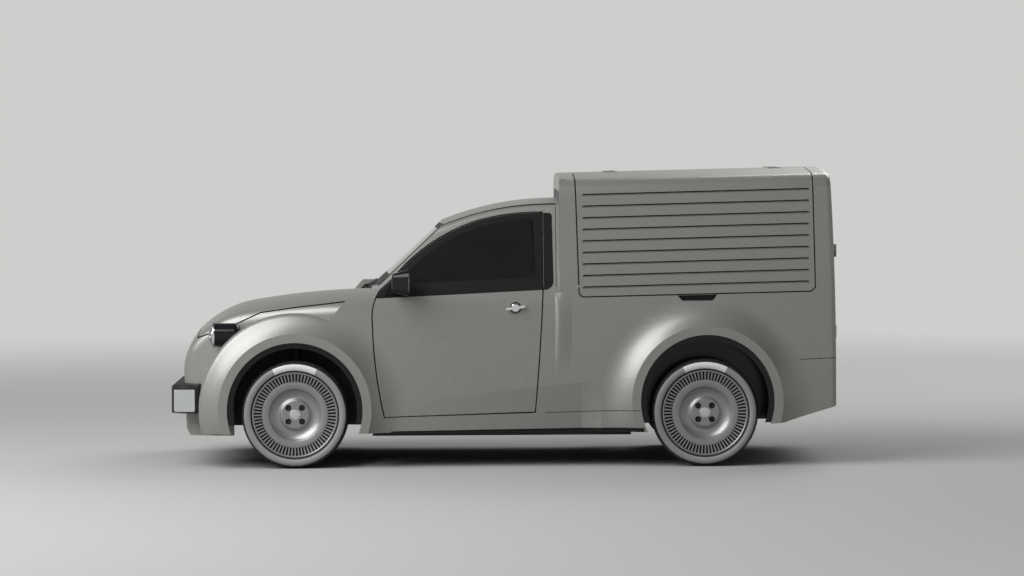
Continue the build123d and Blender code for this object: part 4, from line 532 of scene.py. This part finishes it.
FIN_ENDS = ((187, -78.5, -60.5), (232, -84.5, -62))  # radius, front y and back y


def fin_end(angle, radius, front, back):
    """The four corners of one end of a fin."""
    corners = ((-FIN_HALF, front), (FIN_HALF, front), (FIN_HALF, back), (-FIN_HALF, back))
    return [(radius * math.cos(angle + t), y, radius * math.sin(angle + t)) for t, y in corners]


def hub_face():
    """The flat face of the hub with holes for the bolts and the cap."""
    bm = bmesh.new()
    holes = [circle(BOLT_HOLE, spot, COARSE) for spot in BOLT_SPOTS]
    loops = [circle(HUB_RADIUS, count=RIM_SEGMENTS), *holes, circle(CAP_RADIUS)]
    filled(bm, loops, lambda u, v: (u, HUB_Y, v))
    return bm


def rim_mesh():
    """A whole rim; its looks are silver, black for painted shade, and bright."""
    bm = turned(RIM, RIM_SEGMENTS, look=lambda step, i: int(step in DARK_STEPS))
    for k in range(FINS):
        slab(bm, *(fin_end(2 * math.pi * k / FINS, *end) for end in FIN_ENDS))
    merge(bm, hub_face(), 0)
    merge(bm, turned(CAP, MEDIUM), 2)
    # The barrel, the back, the bolt cups and the bolts take the black look: painted shade in the openings and
    # bolt holes
    merge(bm, turned(BARREL, FINE), 1)
    merge(bm, turned(RIM_BACK, FINE), 1)
    for u, v in BOLT_SPOTS:
        merge(bm, moved(turned(BOLT_CUP, COARSE), (u, 0, v)), 1)
        merge(bm, moved(turned(BOLT, HEXAGON), (u, 0, v)), 1)
    return bm


WHEEL_PIECES = (
    ("tyre", turned(TYRE, TYRE_SEGMENTS, tread_cut, tyre_look, closed=True), [RUBBER, WHITE, PATCH]),
    ("rim", rim_mesh(), [ALLOY, SHADE, BRIGHT]),
)
for axle, side, sign in WHEELS:
    spot = (AXLE_X[axle], sign * WHEEL_Y, TYRE_RADIUS)
    for kind, source, looks in WHEEL_PIECES:
        bm = moved(source.copy(), spot, mirror=sign > 0)
        made = piece(f"dressed_{kind}_{axle}_{side}", bm, looks, f"wheel_{axle}_{side}", smooth=28)
        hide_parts(f"{kind}_{axle}_{side}")

# Headlamp insides
LAMP_SPOT = (-1640, 632, 752)
REFLECTOR = [
    (-1.5, 0.5), (-1.5, 17), (-7, 19), (-7, 24), (-2, 27), (-2, 40), (-9, 43), (-9, 50), (-2, 53), (-1, 59)
]
PALE_STEPS = (2, 6)  # steps of REFLECTOR that are pale rings
for side, sign in SIDES:
    bm = turned(REFLECTOR, MEDIUM, look=lambda step, i: int(step in PALE_STEPS))
    moved(bm, (LAMP_SPOT[0], sign * LAMP_SPOT[1], LAMP_SPOT[2]), turn=-90, axis="Z")
    piece(f"lamp_reflector_{side}", bm, [CHROME, WHITE], "body", smooth=30)

# Door mirror glass and door handle bezel
MIRROR_Y, MIRROR_Z, MIRROR_LIFT = 870, 1052, 1.2
MIRROR_LOOP = box_loop(60, 58, 34)
HANDLE_X, HANDLE_Z, HANDLE_SEGMENTS = 69, 904, 40
HANDLE_BEZEL = [(0.5, 25.5), (-1.5, 29), (-3.5, 29.5), (-3.5, 31), (0.5, 33)]
for side, sign in SIDES:
    mirror_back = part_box(f"mirror_{side}")[1].x / MM
    face = sheet([MIRROR_LOOP], facing_rear(mirror_back + MIRROR_LIFT, sign * MIRROR_Y, MIRROR_Z), thick=1.0)
    piece(f"mirror_face_{side}", face, [MIRROR], f"door_{side}", smooth=20)
    bezel = turned(HANDLE_BEZEL, HANDLE_SEGMENTS)
    moved(bezel, (HANDLE_X, sign * BODY_HALF, HANDLE_Z), mirror=sign > 0)
    piece(f"handle_bezel_{side}", bezel, [GLOSS], f"door_{side}", smooth=30)

# Black plate on the floor of the finger slot under each flap, painted shade in the recess, and seals along
# the seams of the fixed panels
SLOT_LOOP = [(974, 966), (1222, 971), (1184, 938.5), (1017, 938.5)]
SLOT_FLOOR_Y = 740.6
SEAMS = {
    "bumper": spaced((1481, 591.2), (1881, 611.8), 60),
    "sill": spaced((232, 308), (802, 322.82), 95),
    "pillar": spaced((300, 1018), (300, 1482), 30),
}
SEAM_RADIUS = 1.7
side_tree = tree_of("body_sides", "sill_panels", "rear_bumper", "front_fenders", "cab_frame")


def on_side(x, z, sign):
    """The outermost y of the side at a spot of the side view."""
    spot = hit(side_tree, (x, sign * BESIDE, z), (0, -sign, 0))
    return spot.y if spot else sign * BODY_HALF


for side, sign in SIDES:
    plate = sheet([SLOT_LOOP], facing_side(sign, SLOT_FLOOR_Y), thick=0.5)
    piece(f"slot_painted_shade_{side}", plate, [MATTE], "body", smooth=20)
    for label, line in SEAMS.items():
        points = [(x, on_side(x, z, sign), z) for x, z in line]
        tube(f"{label}_seam_{side}", points, SEAM_RADIUS, MATTE, "body", flat=0.6)

# Black strips in the upper halves of the grooves in the flaps: painted shade
GROOVE_COUNT, GROOVE_PITCH, GROOVE_SLOPE = 9, 65.4, math.radians(1.25)
GROOVE_X, GROOVE_LOW_Z = 1091.5, 1032.8  # middle of the lowest strip
GROOVE_Y = 749.8
SHADE_HALF_X, SHADE_HALF_Z = 636, 3.2
groove_run, groove_rise = math.cos(GROOVE_SLOPE), math.sin(GROOVE_SLOPE)
for side, sign in SIDES:
    bm = bmesh.new()
    for row in range(GROOVE_COUNT):
        loop = []
        for u, v in ((-1, -1), (1, -1), (1, 1), (-1, 1)):
            x, z = u * SHADE_HALF_X, v * SHADE_HALF_Z
            loop.append((
                GROOVE_X + x * groove_run - z * groove_rise,
                GROOVE_LOW_Z + row * GROOVE_PITCH + x * groove_rise + z * groove_run,
            ))
        merge(bm, sheet([loop], facing_side(sign, GROOVE_Y), thick=1.2), 0)
    piece(f"groove_painted_shade_{side}", bm, [MATTE], f"side_flap_{side}", smooth=20)

# The soft edge that carries the box's front corner down the side, and the black strip under the sill
EDGE_X, EDGE_HIGH_Z, EDGE_LOW_Z, EDGE_STEPS = 290, 988, 540, 24
EDGE_RISE = 13.0
EDGE_SINK, EDGE_ROOT = 1.5, 17.0  # depth of its feet in the side, and of its back below them
EDGE_PEAK, EDGE_FADE = 0.75, 1.5  # exponents that set where it is highest and how it fades
EDGE_PROFILE = (  # x from its front, and share of its height; feet have none
    (0, 0), (4, 0.2), (10, 0.56), (16, 0.86), (22, 1.0), (32, 0.98), (52, 0.72), (82, 0.24), (106, 0)
)
STRIP_LOOP = [(-640, 200.6), (792, 200.6), (792, 224), (-640, 207)]
STRIP_CUTS = [(0, range(-636, 790, 6))]
STRIP_LIFT = 1.6


def edge_mesh(sign):
    """A low ridge with a steep front that sinks into the side at both ends."""
    bm = bmesh.new()
    rows, roots = [], []
    for i in range(EDGE_STEPS + 1):
        t = i / EDGE_STEPS
        z = EDGE_HIGH_Z + (EDGE_LOW_Z - EDGE_HIGH_Z) * t
        rise = EDGE_RISE * math.sin(math.pi * t**EDGE_PEAK) ** EDGE_FADE
        row = []
        for run, share in EDGE_PROFILE:
            lift = share * rise if share else -EDGE_SINK
            row.append(bm.verts.new((EDGE_X + run, on_side(EDGE_X + run, z, sign) + sign * lift, z)))
        rows.append(row)
        roots.append([bm.verts.new(v.co - Vector((0, sign * EDGE_ROOT, 0))) for v in (row[0], row[-1])])
    loops = [row + [back, front] for row, (front, back) in zip(rows, roots)]
    for a, b in zip(loops, loops[1:]):
        for k in range(len(a)):
            bm.faces.new([a[k - 1], a[k], b[k], b[k - 1]])
    bm.faces.new(loops[0])
    bm.faces.new(loops[-1])
    return bm


def under_sill(sign):
    """Lays the strip of the side view on the foot of the side, just off it."""
    return lambda x, z, depth: (x, on_side(x, z, sign) + sign * (STRIP_LIFT - depth), z)


for side, sign in SIDES:
    piece(f"corner_edge_{side}", edge_mesh(sign), [PAINT], "body", smooth=50)
    strip = sheet([STRIP_LOOP], under_sill(sign), STRIP_CUTS, thick=2.6)
    piece(f"sill_strip_{side}", strip, [MATTE], "body", smooth=30)

# Pull handle of the rear doors
PULL_X, PULL_Y, PULL_Z = 1881.8, -105, 1000
PULL_LOOP, PULL_LIFT = box_loop(75, 26, 12), 3.2
BAR_X, BAR_Z, BAR_HALF, BAR_RADIUS, BAR_STEPS = PULL_X + 3.8, PULL_Z + 4, 58, 7, 10
bezel = sheet([PULL_LOOP], facing_rear(PULL_X + PULL_LIFT, PULL_Y, PULL_Z), thick=3.6)
piece("rear_handle_bezel", bezel, [BLACK], "rear_door_left", smooth=20)
bar = spaced((BAR_X, PULL_Y - BAR_HALF, BAR_Z), (BAR_X, PULL_Y + BAR_HALF, BAR_Z), BAR_STEPS)
tube("rear_handle_bar", bar, BAR_RADIUS, GLOSS, "rear_door_left", flat=0.8)

# Wipers resting on the cowl and the foot of the windscreen
WIPERS = ((-430, 80), (120, 560))  # y of each foot and tip
WIPER_STEPS = [i / 12 for i in range(13)]
PIVOT = [(10, 0.5), (10, 13), (6, 17), (-14, 18)]
PIVOT_X, PIVOT_LIFT = -795, 12
ARM_RUN, ARM_SHARE = 52, 0.62  # in x, and in y as a share of the wiper's reach
ARM_LIFT, ARM_DROP, ARM_RADIUS = 18, 4, 5.5
BLADE_X, BLADE_START, BLADE_SHARE = -742, 0.12, 0.95
BLADE_LIFT, BLADE_RADIUS = 9, 6
COWL_Z = 1000  # where a ray passes the cowl
front_tree = tree_of("windscreen", "cowl", "cab_frame")


def over_front(x, y, lift):
    """A point above the cowl or windscreen."""
    spot = hit(front_tree, (x, y, OVER), (0, 0, -1))
    return (x, y, (spot.z if spot else COWL_Z) + lift)


for number, (foot_y, tip_y) in enumerate(WIPERS):
    reach = tip_y - foot_y
    arm = [
        over_front(PIVOT_X + ARM_RUN * t, foot_y + reach * ARM_SHARE * t, ARM_LIFT - ARM_DROP * t)
        for t in WIPER_STEPS
    ]
    tube(f"wiper_arm_{number}", arm, ARM_RADIUS, BLACK, "body", flat=0.7)
    blade = [
        over_front(BLADE_X, foot_y + reach * (BLADE_START + BLADE_SHARE * t), BLADE_LIFT) for t in WIPER_STEPS
    ]
    tube(f"wiper_blade_{number}", blade, BLADE_RADIUS, BLACK, "body", flat=0.8)
    pivot = moved(turned(PIVOT, COARSE), over_front(PIVOT_X, foot_y, PIVOT_LIFT), turn=90, axis="X")
    piece(f"wiper_pivot_{number}", pivot, [BLACK], "body", smooth=40)

# Seats: padded cushions, backrests and headrests over plain bases
SEAT_Y = 370
CHANNELS = (-0.5, 0.5)  # sewn channels, as shares of the half width
PADS = (  # name, size, x and z of the middle, tilt in degrees, fill, channels
    ("seat_cushion", (350, 470, 122), (-22, 540), 3, 0.7, CHANNELS),
    ("seat_back", (540, 470, 96), (214, 822), -81, 0.7, CHANNELS),
    ("headrest", (150, 250, 74), (236, 1188), -84, 0.8, ()),
)
PAD_CUTS = 11
PAD_EDGE = 0.72  # height at the edges, as a share of the height in the middle
PAD_WAIST = 0.03  # how far the sides swell between bottom and top
CORNER_PULL, RIM_PULL = 0.10, 0.05
CHANNEL_DEPTH, CHANNEL_WIDTH = 0.10, 0.06
CHANNEL_FROM = 0.5  # share of the half height above which the channels are sewn
BASE_ENDS = ((-150, 160, 185, 331), (-120, 130, 170, 478))  # x from, x to, half width, z
POSTS = (("a", -52), ("b", 52))
POST_ENDS, POST_RADIUS = ((232, 1060), (236, 1130)), 6  # ends as x and z


def pad(name, size, spot, tilt, channels):
    """A crowned cushion with soft corners, and with sewn channels along its length."""
    bm = bmesh.new()
    bmesh.ops.create_cube(bm, size=1.0)
    bmesh.ops.subdivide_edges(bm, edges=bm.edges, cuts=PAD_CUTS, use_grid_fill=True)
    for vert in bm.verts:
        u, v, h = (c * 2 for c in vert.co)
        bulge = (1 - u**4) * (1 - v**4)
        corner = 1 - CORNER_PULL * (u * v) ** 2 - RIM_PULL * (u * h) ** 2 - RIM_PULL * (v * h) ** 2
        seam = sum(CHANNEL_DEPTH * math.exp(-((v - c) / CHANNEL_WIDTH) ** 2) for c in channels)
        lift = h * (PAD_EDGE + (1 - PAD_EDGE) * bulge - (seam if h > CHANNEL_FROM else 0))
        wide = corner * (1 + PAD_WAIST * (1 - h**2))
        vert.co = (u * wide * size[0] / 2, v * wide * size[1] / 2, lift * size[2] / 2)
    bmesh.ops.smooth_vert(bm, verts=bm.verts, factor=0.5, use_axis_x=True, use_axis_y=True, use_axis_z=True)
    made = piece(name, moved(bm, spot, turn=tilt), [FABRIC], "body", smooth=60)
    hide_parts("seats")


for side, sign in SIDES:
    y = sign * SEAT_Y
    for name, size, (x, z), tilt, fill, channels in PADS:
        pad(f"{name}_{side}", size, (x, y, z), tilt, channels)
    bm = bmesh.new()
    slab(bm, *(
        [(x0, y - half, z), (x1, y - half, z), (x1, y + half, z), (x0, y + half, z)]
        for x0, x1, half, z in BASE_ENDS
    ))
    base = piece(f"seat_base_{side}", bm, [BLACK], "body", smooth=20)
    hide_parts("seats")
    for label, offset in POSTS:
        ends = [(x, y + offset, z) for x, z in POST_ENDS]
        post = tube(f"headrest_post_{side}_{label}", ends, POST_RADIUS, STEEL, "body")
        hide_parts("seats")

# Dashboard display, leaning back
DISPLAY_LOOP = rounded(((-120, 0), (120, 0), (120, 92), (-120, 92)), 10)
DISPLAY_X, DISPLAY_Z, DISPLAY_LEAN, DISPLAY_DEPTH = -470, 985, 0.16, 0.2
display = sheet(
    [DISPLAY_LOOP], lambda u, v, d: (DISPLAY_X + v * DISPLAY_LEAN + d * DISPLAY_DEPTH, u, DISPLAY_Z + v)
)
piece("dash_display", display, [SCREEN], "body", smooth=20)

# Studio, in metres: a pale floor that fades into a plain pale backdrop, soft light and the photo's camera
FLOOR_REACH, FLOOR_DROP, FLOOR_FADE = 20, 0.0005, (3.0, 15.0)
FLOOR_BOUNCED, FLOOR_SEEN = (0.05, 0.05, 0.0495, 1), (0.40, 0.397, 0.391, 1)
SKY_BOUNCED = ((0.0, (0.12, 0.12, 0.119)), (1.0, (0.50, 0.50, 0.50)))
SKY_SEEN = ((0.06, (0.62, 0.616, 0.606)), (0.5, (0.12, 0.12, 0.119)))


def seen_mix(tree):
    """A mix that gives A to bounced light, and B to what the camera sees, itself or in metal and glass."""
    path = add_node(tree, "LightPath")
    total = path.outputs["Is Camera Ray"]
    for kind in ("Is Glossy Ray", "Is Transmission Ray"):
        either = add_node(tree, "Math")
        either.operation = "MAXIMUM"
        tree.links.new(total, either.inputs[0])
        tree.links.new(path.outputs[kind], either.inputs[1])
        total = either.outputs["Value"]
    made = add_node(tree, "Mix")
    made.data_type = "RGBA"
    tree.links.new(total, made.inputs["Factor"])
    return made


def studio_floor():
    """A matte floor that fades out away from the van."""
    made = bpy.data.materials.new("floor_matte")
    made.use_nodes = True
    tree = made.node_tree
    link = tree.links.new
    tree.nodes.remove(tree.nodes["Principled BSDF"])
    colour = seen_mix(tree)
    colour.inputs["A"].default_value = FLOOR_BOUNCED
    colour.inputs["B"].default_value = FLOOR_SEEN
    matte = add_node(tree, "BsdfDiffuse")
    link(colour.outputs["Result"], matte.inputs["Color"])
    length = add_node(tree, "VectorMath")
    length.operation = "LENGTH"
    link(add_node(tree, "TexCoord").outputs["Object"], length.inputs[0])
    fade = add_node(tree, "MapRange", From_Min=FLOOR_FADE[0], From_Max=FLOOR_FADE[1])
    fade.interpolation_type = "SMOOTHSTEP"
    link(length.outputs["Value"], fade.inputs["Value"])
    blend = add_node(tree, "MixShader")
    link(fade.outputs["Result"], blend.inputs["Fac"])
    link(matte.outputs["BSDF"], blend.inputs[1])
    link(add_node(tree, "BsdfTransparent").outputs["BSDF"], blend.inputs[2])
    link(blend.outputs["Shader"], tree.nodes["Material Output"].inputs["Surface"])
    return made


floor_data = bpy.data.meshes.new("floor")
corners = [(u * FLOOR_REACH, v * FLOOR_REACH, 0) for u, v in ((-1, -1), (1, -1), (1, 1), (-1, 1))]
floor_data.from_pydata(corners, [], [(0, 1, 2, 3)])
floor_data.materials.append(studio_floor())
floor = bpy.data.objects.new("floor", floor_data)
floor.location.z = -FLOOR_DROP
bpy.context.scene.collection.objects.link(floor)

world = bpy.data.worlds.new("studio")
bpy.context.scene.world = world
world.use_nodes = True
tree = world.node_tree
link = tree.links.new
split = add_node(tree, "SeparateXYZ")
link(add_node(tree, "TexCoord").outputs["Generated"], split.inputs["Vector"])
choice = seen_mix(tree)
for key, stops, easing in (("A", SKY_BOUNCED, "LINEAR"), ("B", SKY_SEEN, "EASE")):
    ramp = colour_ramp(tree, *stops)
    ramp.color_ramp.interpolation = easing
    link(split.outputs["Z"], ramp.inputs["Fac"])
    link(ramp.outputs["Color"], choice.inputs[key])
link(choice.outputs["Result"], tree.nodes["Background"].inputs["Color"])


def area_light(name, spot, aim, size, power):
    """A soft rectangular lamp."""
    data = bpy.data.lights.new(name, "AREA")
    data.shape = "RECTANGLE"
    data.size, data.size_y = size
    data.energy = power
    lamp = bpy.data.objects.new(name, data)
    lamp.location = spot
    lamp.rotation_mode = "QUATERNION"
    lamp.rotation_quaternion = (Vector(aim) - Vector(spot)).to_track_quat("-Z", "Y")
    bpy.context.scene.collection.objects.link(lamp)


area_light("key", spot=(-6.0, -5.0, 6.2), aim=(-0.2, -0.3, 0.7), size=(9.0, 7.0), power=1060)
area_light("fill", spot=(5.0, 6.5, 7.0), aim=(0.2, 0.3, 0.7), size=(6.5, 5.0), power=480)

# The camera, aimed by angles in radians that were fitted to the photo
CAMERA_SPOT = (-0.192, -22.789, 1.9)
AZIMUTH, PITCH, ROLL = 0.01096, 0.04012, -0.00505
camera_data = bpy.data.cameras.new("camera")
camera_data.sensor_width = 36
camera_data.lens = 137.0
camera_data.clip_end = 500
camera = bpy.data.objects.new("camera", camera_data)
camera.location = CAMERA_SPOT
ahead = Vector((math.sin(AZIMUTH) * math.cos(PITCH), math.cos(AZIMUTH) * math.cos(PITCH), -math.sin(PITCH)))
level = ahead.cross(Vector((0, 0, 1))).normalized()
right = level * math.cos(ROLL) + level.cross(ahead) * math.sin(ROLL)
camera.rotation_mode = "QUATERNION"
camera.rotation_quaternion = Matrix((right, right.cross(ahead), -ahead)).transposed().to_quaternion()
bpy.context.scene.collection.objects.link(camera)
bpy.context.scene.camera = camera
bpy.context.scene.view_settings.view_transform = "Standard"
